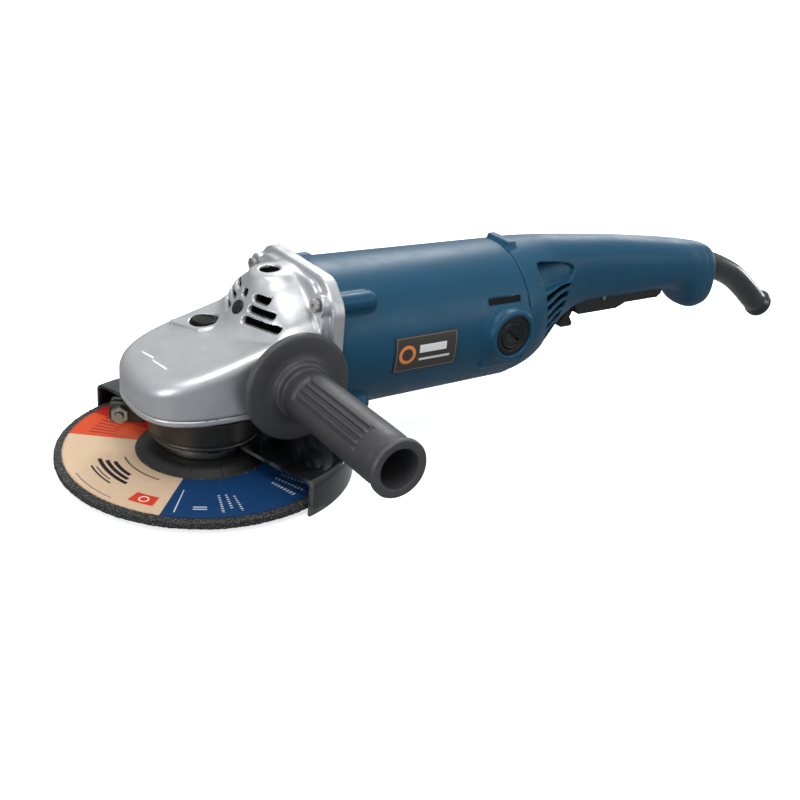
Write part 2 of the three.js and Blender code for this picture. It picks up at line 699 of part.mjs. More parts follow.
// ---- assembly ----
const grinder = new THREE.Group();
const motorLine = new THREE.Group();
motorLine.position.set(0, 0, MOTOR_Z);
motorLine.rotation.y = Math.PI / 2;
const brushLine = new THREE.Group();
brushLine.position.set(BRUSH_X, 0, MOTOR_Z);
const sideHandle = new THREE.Group();
sideHandle.position.set(HANDLE_X, -HANDLE_FACE_Y - GAP, HANDLE_Z);
sideHandle.rotation.x = Math.PI / 2;
const guardClamp = new THREE.Group();
guardClamp.rotation.z = CLAMP_ANGLE * DEG;
grinder.add(motorLine, brushLine, sideHandle, guardClamp);

function place(group, name, geometry, look) {
  const mesh = new THREE.Mesh(geometryOf(solid(geometry)), look);
  mesh.name = name;
  group.add(mesh);
  return mesh;
}

place(grinder, 'gear_case', gearCase(), LOOK.casting);
place(grinder, 'bearing_box', bearingBox(), LOOK.casting);
screwSpots().forEach(([y, z], i) => {
  const screw = place(motorLine, `gear_case_screw_${i + 1}`, caseScrew(), LOOK.darkSteel);
  screw.position.set(MOTOR_Z - z, y, 0);
});
place(grinder, 'spindle', spindle(), LOOK.steel);
place(grinder, 'spindle_bearing_outer', ring(14, 17.5, 28, 38.6, 20), LOOK.steel);
place(grinder, 'spindle_bearing_inner', ring(7.8, 10.6, 28, 38.6, 16), LOOK.steel);
place(grinder, 'spindle_top_bush', ring(6.4, 9, 66, 72.4, 16), LOOK.copper);
place(grinder, 'driven_gear', drivenGear(), LOOK.steel);
place(grinder, 'inner_flange', innerFlange(), LOOK.steel);
place(grinder, 'grinding_wheel', grindingWheel(), LOOK.abrasive);
place(grinder, 'lock_nut', lockNut(), LOOK.darkSteel);

place(motorLine, 'drive_pinion', drivePinion(), LOOK.steel);
place(motorLine, 'pinion_nut', ring(5.3, 6.6, 16.2, 20, 6), LOOK.darkSteel);
place(motorLine, 'armature_shaft', armatureShaft(), LOOK.steel);
place(motorLine, 'front_bearing_inner', ring(7.6, 10, 48, 57, 16), LOOK.steel);
place(motorLine, 'front_bearing_outer', ring(13, 16, 48, 57, 20), LOOK.steel);
place(motorLine, 'cooling_fan', fan(), LOOK.blackShell);
place(motorLine, 'armature_core', armatureCore(), LOOK.iron);
place(motorLine, 'armature_coil_front', ring(8, 22.5, 101, 111.7, 20), LOOK.copper);
place(motorLine, 'armature_coil_rear', ring(8, 22.5, 163.3, 178, 20), LOOK.copper);
place(motorLine, 'commutator', ring(6.5, 15, 183, 204.5, 24), LOOK.copper);
place(motorLine, 'rear_bearing_inner', ring(4.1, 5.8, 207, 214, 14), LOOK.steel);
place(motorLine, 'rear_bearing_outer', ring(8.4, 11, 207, 214, 16), LOOK.steel);
place(motorLine, 'stator_core', statorCore(), LOOK.iron);
place(motorLine, 'field_coil_lower', fieldCoil(1), LOOK.copper);
place(motorLine, 'field_coil_upper', fieldCoil(-1), LOOK.copper);
place(motorLine, 'fan_baffle', ring(27, HOUSING_BORE - 2 * GAP, 94.5, 97.5, 24), LOOK.blackShell);

place(grinder, 'motor_housing', motorHousing(), LOOK.blueShell);
place(grinder, 'name_plate', plateSector(48.4, 49.4, 0), LOOK.plate);
[['left', -1], ['right', 1]].forEach(([word, side]) => {
  const brush = alongY(slab([-6, 6], [-3.2, 3.2], [15.4, 32]), side);
  const spring = alongY(coil(2.7, 0.4, 15.6, 3).translate(0, 0, 32.3), side);
  place(brushLine, `brush_holder_${word}`, brushHolder(side), LOOK.blackShell);
  place(brushLine, `carbon_brush_${word}`, brush, LOOK.carbon);
  place(brushLine, `brush_spring_${word}`, spring, LOOK.steel);
  place(brushLine, `brush_cap_${word}`, brushCap(side), LOOK.blackShell);
});

const tail = tailShell();
place(grinder, 'handle_shell_left', tailHalf(tail, -1), LOOK.blueShell);
place(grinder, 'handle_shell_right', tailHalf(tail, 1), LOOK.blueShell);
const switchBox = slab([322, 368], [-11, 11], [82, 100]);
const plungerBore = rod(2.9, 70, 92, 12).translate(PLUNGER_X, 0, 0);
place(grinder, 'switch_body', cut(switchBox, plungerBore), LOOK.blackShell);
place(grinder, 'switch_plunger', rod(2.5, 74.4, 85, 12).translate(PLUNGER_X, 0, 0), LOOK.blackShell);
place(grinder, 'trigger', trigger(), LOOK.blackShell);
const pin = alongY(rod(1.8, -15.6, 15.6, 12), 1).translate(TRIGGER_PIN_X, 0, TRIGGER_PIN_Z);
place(grinder, 'trigger_pin', pin, LOOK.steel);
place(grinder, 'lock_lever', lockLever(), LOOK.blackShell);
place(grinder, 'lock_lever_pin', leverPin(1.2, 8), LOOK.steel);
place(grinder, 'cord_guard', cordGuard(), LOOK.rubber);

place(sideHandle, 'side_handle_grip', sideHandleGrip(), LOOK.darkGrip);
place(sideHandle, 'side_handle_stud', sideHandleStud(), LOOK.steel);

const lockButton = join(rod(8.3, 78.4, 82.4, 24), rod(2.6, 66.2, 79, 12));
place(grinder, 'shaft_lock_button', lockButton.translate(LOCK_X, LOCK_Y, 0), LOOK.blackShell);
const lockSpring = coil(5, 0.5, 8.3, 2).translate(LOCK_X, LOCK_Y, 69.8);
place(grinder, 'shaft_lock_spring', lockSpring, LOOK.steel);

place(grinder, 'wheel_guard', wheelGuard(), LOOK.blackPaint);
place(grinder, 'guard_band', guardBand(), LOOK.darkSteel);
place(guardClamp, 'guard_clamp_screw', clampScrew(), LOOK.steel);
place(guardClamp, 'guard_clamp_nut', clampNut(), LOOK.steel);

export default grinder;
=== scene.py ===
"""Looks of an angle grinder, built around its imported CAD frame. Lengths are in mm unless a name says otherwise.

X runs from the wheel to the tail, Z up, and the spindle's axis is x = y = 0. Each large shape is a signed distance
field that is turned into a mesh; round parts are turned profiles.
"""
import functools
import math
from types import SimpleNamespace

import bmesh
import bpy
import numpy as np
from mathutils import Matrix, Vector


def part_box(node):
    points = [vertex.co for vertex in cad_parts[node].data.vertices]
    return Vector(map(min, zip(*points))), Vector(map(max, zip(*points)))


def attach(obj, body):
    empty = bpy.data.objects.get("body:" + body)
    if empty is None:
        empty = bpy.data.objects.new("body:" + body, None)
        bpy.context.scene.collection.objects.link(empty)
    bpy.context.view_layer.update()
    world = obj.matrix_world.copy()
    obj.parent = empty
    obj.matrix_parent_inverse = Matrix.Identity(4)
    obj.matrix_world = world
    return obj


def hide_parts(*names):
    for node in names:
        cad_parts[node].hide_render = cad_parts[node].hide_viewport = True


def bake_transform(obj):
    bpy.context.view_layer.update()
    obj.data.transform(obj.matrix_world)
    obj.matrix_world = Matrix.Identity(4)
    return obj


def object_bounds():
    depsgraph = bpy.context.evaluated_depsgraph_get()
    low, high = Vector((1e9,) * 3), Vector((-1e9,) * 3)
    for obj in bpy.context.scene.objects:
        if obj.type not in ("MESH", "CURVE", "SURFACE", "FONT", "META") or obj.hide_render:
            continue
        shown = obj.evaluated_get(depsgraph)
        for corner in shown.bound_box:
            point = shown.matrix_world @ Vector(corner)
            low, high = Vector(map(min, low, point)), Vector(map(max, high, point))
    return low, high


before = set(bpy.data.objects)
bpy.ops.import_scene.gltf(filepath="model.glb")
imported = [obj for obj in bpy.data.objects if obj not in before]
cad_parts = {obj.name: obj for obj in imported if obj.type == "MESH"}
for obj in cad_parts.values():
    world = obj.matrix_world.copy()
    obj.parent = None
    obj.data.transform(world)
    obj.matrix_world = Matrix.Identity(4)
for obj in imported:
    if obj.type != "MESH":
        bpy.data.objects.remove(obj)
cad_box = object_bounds()

MM = 0.001
SIDES = ((-1, "right"), (1, "left"))
MOTOR_Z = 71.5
CASE_SEAM_Z = 46.6
NOSE_X, NOSE_LENGTH, NOSE_WIDTH, NOSE_POWER = 6.0, 54.2, 43.0, 2.9
NOSE_SLOPE, NOSE_TOP_X, NOSE_TOP_Z = 0.29, -38.0, 68.0
HANDLE_X, HANDLE_Z, HANDLE_FACE_Y = 35.0, 63.0, 50.2
LOCK_X, LOCK_Y = 8.0, 20.0
TOP_BOSS_X, TOP_BOSS_Z = 41.0, 115.8
SCREW_Y, SCREW_DZ = 40.0, 35.4
HOUSING_X, HOUSING_END_X, HOUSING_R, HOUSING_TAPER = 66.2, 211.8, 49.0, 0.0105
BRUSH_X = 194.5
SLOT_X, SLOT_Z = 191.8, 93.0
TAIL_FRONT_X, TAIL_END_X = 212.4, 427.0
VENT_DEPTH, VENT_BLADES, VENT_PITCH = 12.0, 7, 6.9
GUARD_RADIUS, GUARD_BORE, NECK_RADIUS = 93.0, 31.3, 32.2
GUARD_TOP_Z, GUARD_LOW_Z, GUARD_SHEET, GUARD_BEND = 20.0, -2.0, 1.7, 4.0
GUARD_PLATE = 1.9
FLANGE_RADIUS = 26.5


# ---------------------------------------------------------------- camera, floor and light
def aim_camera():
    azimuth, elevation, roll = (math.radians(v) for v in (-35.557, 24.971, -5.425))
    back = Vector((math.sin(azimuth) * math.cos(elevation), -math.cos(azimuth) * math.cos(elevation),
                   math.sin(elevation)))
    flat_right = Vector((math.cos(azimuth), math.sin(azimuth), 0))
    flat_up = back.cross(flat_right)
    right = math.cos(roll) * flat_right - math.sin(roll) * flat_up
    up = math.sin(roll) * flat_right + math.cos(roll) * flat_up
    data = bpy.data.cameras.new("camera")
    data.lens, data.sensor_width = 50, 36
    data.clip_start, data.clip_end = 0.01, 60
    camera = bpy.data.objects.new("camera", data)
    bpy.context.scene.collection.objects.link(camera)
    turn = Matrix((right, up, back)).transposed().to_4x4()
    camera.matrix_world = Matrix.Translation(Vector((-0.2579, -0.5646, 0.3344))) @ turn
    bpy.context.scene.camera = camera


def soft_light(name, place, target, size, watts):
    data = bpy.data.lights.new(name, "AREA")
    data.shape, data.size, data.energy = "DISK", size, watts
    light = bpy.data.objects.new(name, data)
    light.location = place
    aim = Vector(target) - Vector(place)
    light.rotation_euler = aim.to_track_quat("-Z", "Y").to_euler()
    bpy.context.scene.collection.objects.link(light)


def studio():
    """Pale floor, a sky that darkens towards the horizon, and six soft lights. Places are in metres."""
    world = bpy.data.worlds.new("studio")
    world.use_nodes = True
    tree = world.node_tree
    split, fade = (tree.nodes.new("ShaderNode" + kind) for kind in ("SeparateXYZ", "ValToRGB"))
    tree.links.new(tree.nodes.new("ShaderNodeTexCoord").outputs["Generated"], split.inputs[0])
    tree.links.new(split.outputs[2], fade.inputs[0])
    horizon, overhead = fade.color_ramp.elements
    horizon.position, overhead.position = 0.0, 0.75
    horizon.color, overhead.color = (0.42, 0.43, 0.45, 1), (1, 1, 1, 1)
    tree.links.new(fade.outputs[0], tree.nodes["Background"].inputs[0])
    tree.nodes["Background"].inputs[1].default_value = 0.74
    bpy.context.scene.world = world
    bpy.context.scene.view_settings.view_transform = "Standard"
    for light in (("key", (-0.15, -0.35, 1.25), (0.15, 0, 0.05), 0.9, 7.6),
                  ("rim", (0.75, 0.75, 0.95), (0.2, 0, 0.08), 0.5, 7),
                  ("side", (0.9, -0.9, 0.45), (0.3, 0, 0.05), 0.5, 2.0),
                  ("nose", (-0.85, -0.30, 0.28), (0, 0, 0.06), 0.45, 2.6),
                  ("back", (1.35, 0.85, 0.42), (0.45, 0, 0.06), 0.6, 2.5),
                  ("end", (1.45, 0.12, 0.13), (0.47, 0, 0.07), 0.25, 0.8)):
        soft_light(*light)
    bpy.ops.mesh.primitive_plane_add(size=24, location=(0, 0, cad_box[0][2] - 0.0004))
    floor = bpy.context.object
    floor.name = "floor"
    paint = Shade("floor_white", roughness=0.7, emission_color=(1, 1, 1, 1), emission_strength=0.68)
    paint.colour(paint.ramp(paint.noise(40, 3), [(0.3, (0.90, 0.90, 0.90)), (0.7, (0.93, 0.93, 0.93))]))
    floor.data.materials.append(paint.material)
    floor.visible_diffuse = floor.visible_glossy = False


# ---------------------------------------------------------------- procedural materials
class Shade:
    """A node material on one Principled shader. Coordinates are the object's own, in metres."""

    def __init__(self, name, **sockets):
        self.material = bpy.data.materials.new(name)
        self.material.use_nodes = True
        self.tree = self.material.node_tree
        self.shader = self.tree.nodes["Principled BSDF"]
        for key, value in sockets.items():
            self.shader.inputs[key.replace("_", " ").title().replace("Ior", "IOR")].default_value = value
        self.position = self.tree.nodes.new("ShaderNodeTexCoord").outputs["Object"]

    def feed(self, socket, value):
        if isinstance(value, bpy.types.NodeSocket):
            self.tree.links.new(value, socket)
        else:
            socket.default_value = value

    def node(self, kind, links=(), **values):
        made = self.tree.nodes.new("ShaderNode" + kind)
        for key, value in values.items():
            setattr(made, key, value)
        for key, value in dict(links).items():
            self.feed(made.inputs[key], value)
        return made

    def noise(self, scale, detail=3.0, rough=0.55, vector=None, distortion=0.0):
        links = {"Vector": vector or self.position, "Scale": scale, "Detail": detail, "Roughness": rough,
                 "Distortion": distortion}
        return self.node("TexNoise", links).outputs["Fac"]

    def cells(self, scale):
        return self.node("TexVoronoi", {"Vector": self.position, "Scale": scale}).outputs["Distance"]

    def waves(self, direction, scale, distortion, detail=2.0):
        links = {"Vector": self.position, "Scale": scale, "Distortion": distortion, "Detail": detail}
        return self.node("TexWave", links, bands_direction=direction).outputs["Fac"]

    def math(self, operation, a, b=0.0):
        return self.node("Math", {0: a, 1: b}, operation=operation).outputs[0]

    def times(self, a, b):
        return self.math("MULTIPLY", a, b)

    def hypot(self, a, b):
        return self.math("SQRT", self.math("ADD", self.times(a, a), self.times(b, b)))

    def axes(self):
        return self.node("SeparateXYZ", {0: self.position}).outputs[:3]

    def stretched(self, sx, sy, sz):
        return self.node("Mapping", {"Vector": self.position, "Scale": (sx, sy, sz)}).outputs[0]

    def ramp(self, factor, stops):
        made = self.node("ValToRGB", {0: factor})
        while len(made.color_ramp.elements) < len(stops):
            made.color_ramp.elements.new(0.5)
        for element, (place, colour) in zip(made.color_ramp.elements, stops):
            element.position, element.color = place, (*colour, 1)
        return made.outputs[0]

    def between(self, factor, low, high, start=0.0, end=1.0):
        links = {"Value": factor, "From Min": start, "From Max": end, "To Min": low, "To Max": high}
        return self.node("MapRange", links).outputs[0]

    def band(self, value, low, high, soft):
        """1 where value lies between low and high, with soft edges."""
        return self.times(self.between(value, 0.0, 1.0, low - soft, low + soft),
                          self.between(value, 1.0, 0.0, high - soft, high + soft))

    def mix(self, factor, a, b):
        made = self.node("Mix", data_type="RGBA")
        for index, value in ((0, factor), (6, a), (7, b)):
            self.feed(made.inputs[index], (*value, 1) if isinstance(value, tuple) else value)
        return made.outputs[2]

    def edges(self, low=0.52, high=0.6):
        return self.between(self.node("NewGeometry").outputs["Pointiness"], 0.0, 1.0, low, high)

    def bump(self, height, strength, distance, under=None):
        links = {"Height": height, "Strength": strength, "Distance": distance}
        if under is not None:
            links["Normal"] = under
        made = self.node("Bump", links)
        self.feed(self.shader.inputs["Normal"], made.outputs[0])
        return made.outputs[0]

    def colour(self, socket):
        self.base = socket
        self.feed(self.shader.inputs["Base Color"], socket)

    def over(self, mask, colour):
        """Lays a colour over what is there, where the mask is 1."""
        self.colour(self.mix(mask, self.base, colour))

    def rough(self, socket, low, high, start=0.3, end=0.7):
        self.feed(self.shader.inputs["Roughness"], self.between(socket, low, high, start, end))


def tint(colour, share):
    return tuple(min(1.0, c * share) for c in colour)


def moulded(name, colour, roughness, grain=2200, depth=0.00004, spread=0.06, wear=0.25, **sockets):
    """Moulded plastic: fine spark-eroded texture, faint cloudiness and lighter rubbed edges."""
    shade = Shade(name, **sockets)
    shade.colour(shade.ramp(shade.noise(28, 4), [(0.3, tint(colour, 1 - spread)), (0.7, tint(colour, 1 + spread))]))
    rubbed = shade.times(shade.edges(), shade.times(shade.noise(300, 4), wear))
    shade.over(rubbed, tint([c + 0.05 for c in colour], 1.9))
    shade.rough(shade.noise(70, 5, 0.6), roughness - 0.05, roughness + 0.07)
    shade.bump(shade.noise(grain, 2), 0.35, depth)
    return shade.material


def cast_metal(name, colour, roughness):
    """Die-cast aluminium with a satin lacquer: orange peel, flow marks, darker pores, brighter edges."""
    shade = Shade(name, metallic=0.76)
    flow = shade.noise(45, 5, 0.6, distortion=0.6)
    shade.colour(shade.ramp(flow, [(0.3, tint(colour, 0.93)), (0.5, colour), (0.72, tint(colour, 1.06))]))
    pores = shade.between(shade.cells(900), 0.82, 1.0, 0.05, 0.3)
    patches = shade.between(shade.noise(160, 3), 0.0, 0.25, 0.45, 0.7)
    shade.over(shade.times(pores, patches), tint(colour, 1.12))
    shade.over(shade.times(shade.edges(), 0.4), tint(colour, 1.25))
    shade.rough(shade.noise(120, 4), roughness - 0.06, roughness + 0.08)
    peel = shade.bump(shade.noise(420, 3), 0.25, 0.00008)
    shade.bump(shade.noise(2600, 2), 0.3, 0.00003, peel)
    return shade.material


def bare_metal(name, colour, roughness, metallic=1.0, lines=(1, 1, 1), scratch=0.3):
    """Machined metal: fine lines along one axis, stains and small variations of gloss."""
    shade = Shade(name, metallic=metallic)
    brushed = shade.noise(900, 4, 0.6, shade.stretched(*lines))
    shade.colour(shade.ramp(shade.noise(60, 4), [(0.3, tint(colour, 0.8)), (0.6, colour), (0.8, tint(colour, 1.15))]))
    shade.over(shade.times(brushed, scratch), tint(colour, 0.55))
    shade.rough(brushed, roughness - 0.08, roughness + 0.12)
    shade.bump(brushed, 0.3, 0.00004)
    return shade.material


def gloss_paint(name, colour, roughness):
    """Baked black enamel on pressed steel: faint orange peel and a few chipped edges."""
    shade = Shade(name, coat_weight=0.6, coat_roughness=0.08)
    shade.colour(shade.ramp(shade.noise(35, 3), [(0.3, tint(colour, 0.8)), (0.7, tint(colour, 1.3))]))
    chips = shade.times(shade.edges(0.54, 0.60), shade.between(shade.noise(60, 3), 0, 1, 0.45, 0.6))
    shade.over(shade.times(chips, 0.35), (0.20, 0.20, 0.21))
    shade.rough(shade.noise(90, 4), roughness - 0.04, roughness + 0.1)
    shade.bump(shade.noise(650, 2), 0.2, 0.00005)
    return shade.material


def abrasive_stone(name):
    """Resin-bonded grit: dark grains of mixed size, a few glassy ones, very rough."""
    shade = Shade(name)
    grains = shade.cells(800)
    fine = shade.noise(2600, 4, 0.7)
    shade.colour(shade.ramp(grains, [(0.05, (0.05, 0.05, 0.052)), (0.35, (0.018,) * 3), (0.7, (0.006,) * 3)]))
    glint = shade.between(shade.noise(1150, 3, 0.7), 0.0, 0.75, 0.54, 0.66)
    shade.over(glint, (0.24, 0.24, 0.245))
    shade.rough(fine, 0.6, 0.95)
    coarse = shade.bump(grains, 0.9, 0.0005)
    shade.bump(fine, 0.6, 0.0002, coarse)
    return shade.material


def hub_stone(name):
    """The pressed hub: fine dark grit, smoother than the rim."""
    shade = Shade(name)
    grit = shade.noise(2200, 5, 0.7)
    shade.colour(shade.ramp(grit, [(0.35, (0.004,) * 3), (0.6, (0.011,) * 3), (0.8, (0.035,) * 3)]))
    shade.rough(grit, 0.45, 0.75)
    shade.bump(grit, 0.5, 0.00015)
    return shade.material


def wound_copper(name):
    """Enamelled windings: fine wires side by side."""
    shade = Shade(name, metallic=0.9, coat_weight=0.4)
    wire = shade.waves("DIAGONAL", 420, 1.5, 1)
    shade.colour(shade.ramp(wire, [(0.1, (0.12, 0.03, 0.012)), (0.6, (0.52, 0.19, 0.07))]))
    shade.rough(wire, 0.45, 0.28, 0.0, 1.0)
    shade.bump(wire, 0.7, 0.0002)
    return shade.material


def laminated(name):
    """Stacked electrical steel: thin sheets along the motor axis, lightly varnished."""
    shade = Shade(name, metallic=0.85)
    sheet = shade.waves("X", 320, 0.2)
    rust = shade.noise(90, 5)
    shade.colour(shade.ramp(rust, [(0.35, (0.10, 0.10, 0.105)), (0.75, (0.17, 0.15, 0.13))]))
    shade.over(shade.times(sheet, 0.4), (0.04, 0.04, 0.04))
    shade.rough(rust, 0.4, 0.6)
    shade.bump(sheet, 0.5, 0.0001)
    return shade.material


def wheel_label(name):
    """Printed paper disc: three coloured fields and generic marks that stand for print."""
    shade = Shade(name, specular_ior_level=0.15)
    x, y, _ = shade.axes()
    radius = shade.hypot(x, y)
    angle = shade.times(shade.math("ARCTAN2", y, x), 180 / math.pi)
    turned = shade.math("MODULO", shade.math("ADD", angle, 720.0), 360.0)
    fibre = shade.noise(700, 5, 0.65)
    beige, blue, orange, red = (shade.ramp(fibre, [(0.3, low), (0.7, high)]) for low, high in (
        ((0.58, 0.42, 0.28), (0.66, 0.49, 0.34)), ((0.004, 0.034, 0.115), (0.009, 0.050, 0.15)),
        ((0.55, 0.055, 0.012), (0.66, 0.085, 0.022)), ((0.36, 0.012, 0.01), (0.46, 0.02, 0.014))))
    dark = (0.012, 0.010, 0.010)
    light = (0.62, 0.66, 0.70)
    print_dots = shade.between(shade.noise(1500, 2), 0.0, 1.0, 0.42, 0.5)

    def block(r0, r1, a0, a1):
        return shade.times(shade.band(radius, r0 * MM, r1 * MM, 0.00015), shade.band(turned, a0, a1, 0.15))

    shade.colour(shade.mix(shade.band(turned, 144.0, 229.0, 0.05), blue, beige))
    shade.over(shade.band(turned, 20.0, 144.0, 0.05), orange)
    shade.over(shade.band(turned, 20.0, 122.0, 0.2), red)
    strokes = shade.between(shade.math("SINE", shade.times(turned, 1.9)), 0, 1, 0.2, 0.4)
    fine_rows = shade.between(shade.math("SINE", shade.times(radius, 2600.0)), 0, 1, -0.1, 0.1)
    shade.over(shade.times(shade.times(block(56, 74, 122, 141), strokes), 0.75), (0.22, 0.016, 0.012))
    for r0, r1, a0, a1, amount in ((69.5, 70.7, 176, 196, 1.0), (67.2, 68.0, 178, 193, 1.0),
                                   (48.5, 49.6, 172, 214, 0.9), (80.5, 81.1, 180, 206, 0.9)):
        shade.over(shade.times(block(r0, r1, a0, a1), amount), dark)
    shade.over(block(67, 77, 212, 224), (0.60, 0.045, 0.02))
    mark_radius, mark_turn = 0.072, 218.0
    ring = shade.hypot(shade.math("SUBTRACT", radius, mark_radius),
                       shade.times(shade.math("SUBTRACT", turned, mark_turn), mark_radius * math.pi / 180))
    shade.over(shade.band(ring, 0.0022, 0.0032, 0.0001), (0.72, 0.64, 0.55))
    for r0, r1, a0, a1 in ((62.5, 65.0, 170, 202), (58.6, 61.1, 173, 199), (54.7, 57.2, 176, 196)):
        shade.over(block(r0, r1, a0, a1), dark)
    for r0, r1, a0, a1 in ((72, 76, 241, 247), (60, 80, 253, 254.2), (60, 76, 257, 258.2), (62, 80, 261, 262),
                           (60, 79, 286, 288), (58, 80, 291.5, 293), (58, 74, 297, 298)):
        shade.over(shade.times(shade.times(block(r0, r1, a0, a1), fine_rows), 0.75), light)
    shade.over(block(55, 80, 233.5, 234), light)
    shade.over(shade.between(shade.noise(220, 6, 0.7), 0.0, 0.18, 0.58, 0.78), (0.20, 0.18, 0.16))
    edge = shade.between(radius, 0.0, 0.85, 0.0838, 0.0852)
    shade.over(shade.times(edge, print_dots), dark)
    shade.rough(fibre, 0.42, 0.58)
    coarse = shade.bump(shade.noise(900, 3), 0.35, 0.00022)
    shade.bump(fibre, 0.25, 0.00005, coarse)
    return shade.material


def plate_print(name):
    """Matte plate with a thin pale outline, a ring and two plain stripes."""
    shade = Shade(name)
    x, y, z = shade.axes()
    up = shade.math("SUBTRACT", z, MOTOR_Z * MM)
    angle = shade.times(shade.math("ARCTAN2", up, shade.times(y, -1.0)), 180 / math.pi)
    lower, middle_x = 2.1, 0.1275
    across = shade.times(shade.math("ADD", angle, lower), HOUSING_R * MM * math.pi / 180)
    along = shade.math("SUBTRACT", x, middle_x)
    fleck = shade.noise(1800, 4, 0.7)
    shade.colour(shade.ramp(fleck, [(0.3, (0.028, 0.025, 0.022)), (0.7, (0.046, 0.041, 0.036))]))
    far, high = shade.math("ABSOLUTE", along), shade.math("ABSOLUTE", across)
    frame_x = shade.times(shade.band(far, 0.0222, 0.02255, 0.00005), shade.between(high, 1.0, 0.0, 0.01110, 0.01120))
    frame_y = shade.times(shade.band(high, 0.01085, 0.0112, 0.00005), shade.between(far, 1.0, 0.0, 0.0225, 0.0226))
    shade.over(shade.times(shade.math("MAXIMUM", frame_x, frame_y), 0.5), (0.42, 0.40, 0.38))
    ring = shade.hypot(shade.math("ADD", along, 0.0145), across)
    shade.over(shade.band(ring, 0.0040, 0.0062, 0.0001), (0.80, 0.24, 0.06))

    def stripe(x0, x1, z0, z1):
        return shade.times(shade.band(along, x0, x1, 0.0001), shade.band(across, z0, z1, 0.0001))

    shade.over(stripe(-0.0055, 0.0150, 0.0000, 0.0052), (0.80, 0.80, 0.80))
    shade.over(stripe(-0.0055, 0.0180, -0.0052, -0.0036), (0.72, 0.72, 0.72))
    shade.rough(fleck, 0.42, 0.58)
    shade.bump(fleck, 0.2, 0.00003)
    return shade.material


# ---------------------------------------------------------------- distance fields
def lowest(*fields):
    """Plain union of fields."""
    return functools.reduce(np.minimum, fields)


def highest(*fields):
    """Plain intersection of fields."""
    return functools.reduce(np.maximum, fields)


def slab(value, low, high):
    """Negative between low and high."""
    return np.maximum(low - value, value - high)


def unite(a, b, radius=0.0):
    """Union of two fields, with a fillet."""
    if radius == 0:
        return np.minimum(a, b)
    u, v = np.maximum(radius - a, 0), np.maximum(radius - b, 0)
    return np.maximum(radius, np.minimum(a, b)) - np.sqrt(u * u + v * v)


def meet(a, b, radius=0.0):
    """Intersection of two fields, with a rounded edge."""
    return -unite(-a, -b, radius)


def carve(a, b, radius=0.0):
    """a without b, with a rounded edge."""
    return meet(a, -b, radius)


def rod(u, v, t, radius, low, high, edge=0.0):
    """A cylinder: u and v are measured from its axis, t along it."""
    return meet(np.hypot(u, v) - radius, slab(t, low, high), edge)


def capsule(u, v, t, radius, low, high):
    """A rod with round ends."""
    over = t - np.clip(t, low + radius, high - radius)
    return np.sqrt(u * u + v * v + over * over) - radius


def block(x, y, z, low, high, edge=0.0):
    parts = [np.abs(p - (a + b) / 2) - (b - a) / 2 for p, a, b in zip((x, y, z), low, high)]
    return meet(meet(parts[0], parts[1], edge), parts[2], edge)


def squircle(u, v, half_u, half_v, power, deepest):
    """Near distance to a squarish oval with the given half sizes; u and v are not negative."""
    size = np.maximum((u / half_u) ** power + (v / half_v) ** power, 1e-6) ** (1 / power)
    steep = np.sqrt(((u / half_u / size) ** (power - 1) / half_u) ** 2
                    + ((v / half_v / size) ** (power - 1) / half_v) ** 2)
    return np.maximum((size - 1) / np.maximum(steep, 1e-6), deepest)


def smooth_line(points, steps=6):
    """Catmull-Rom curve through the points."""
    p = np.array(points, float)
    p = np.vstack([2 * p[0] - p[1], p, 2 * p[-1] - p[-2]])
    t = np.linspace(0, 1, steps, endpoint=False)[:, None]
    rows = []
    for a, b, c, d in zip(p, p[1:], p[2:], p[3:]):
        rows.append(0.5 * (2 * b + (c - a) * t + (2 * a - 5 * b + 4 * c - d) * t ** 2
                           + (3 * b - a - 3 * c + d) * t ** 3))
    return np.vstack([*rows, p[-2][None]])


class Outline:
    """Signed distance to a closed flat outline, kept as a table and read by interpolation."""

    def __init__(self, points, step=0.4, margin=10):
        pts = np.array(points, float)
        self.low, self.step = pts.min(0) - margin, step
        u = np.arange(self.low[0], pts[:, 0].max() + margin, step)[:, None]
        v = np.arange(self.low[1], pts[:, 1].max() + margin, step)[None, :]
        nearest = np.full((u.size, v.size), 1e9)
        inside = np.zeros(nearest.shape, bool)
        for a, b in zip(pts, np.roll(pts, -1, 0)):
            e = b - a
            share = np.clip(((u - a[0]) * e[0] + (v - a[1]) * e[1]) / max(e @ e, 1e-12), 0, 1)
            nearest = np.minimum(nearest, (u - a[0] - share * e[0]) ** 2 + (v - a[1] - share * e[1]) ** 2)
            if a[1] != b[1]:
                crosses = ((a[1] <= v) != (b[1] <= v)) & (u < a[0] + e[0] * (v - a[1]) / e[1])
                inside ^= crosses
        self.table = np.where(inside, -1, 1) * np.sqrt(nearest)

    def __call__(self, u, v):
        s = np.clip((u - self.low[0]) / self.step, 0, self.table.shape[0] - 1.001)
        t = np.clip((v - self.low[1]) / self.step, 0, self.table.shape[1] - 1.001)
        i, j = s.astype(np.int32), t.astype(np.int32)
        s, t = s - i, t - j
        k = self.table
        return ((k[i, j] * (1 - t) + k[i, j + 1] * t) * (1 - s)
                + (k[i + 1, j] * (1 - t) + k[i + 1, j + 1] * t) * s)


EDGES = [(c, axis) for axis in range(3) for c in np.ndindex(2, 2, 2) if c[axis] == 0]


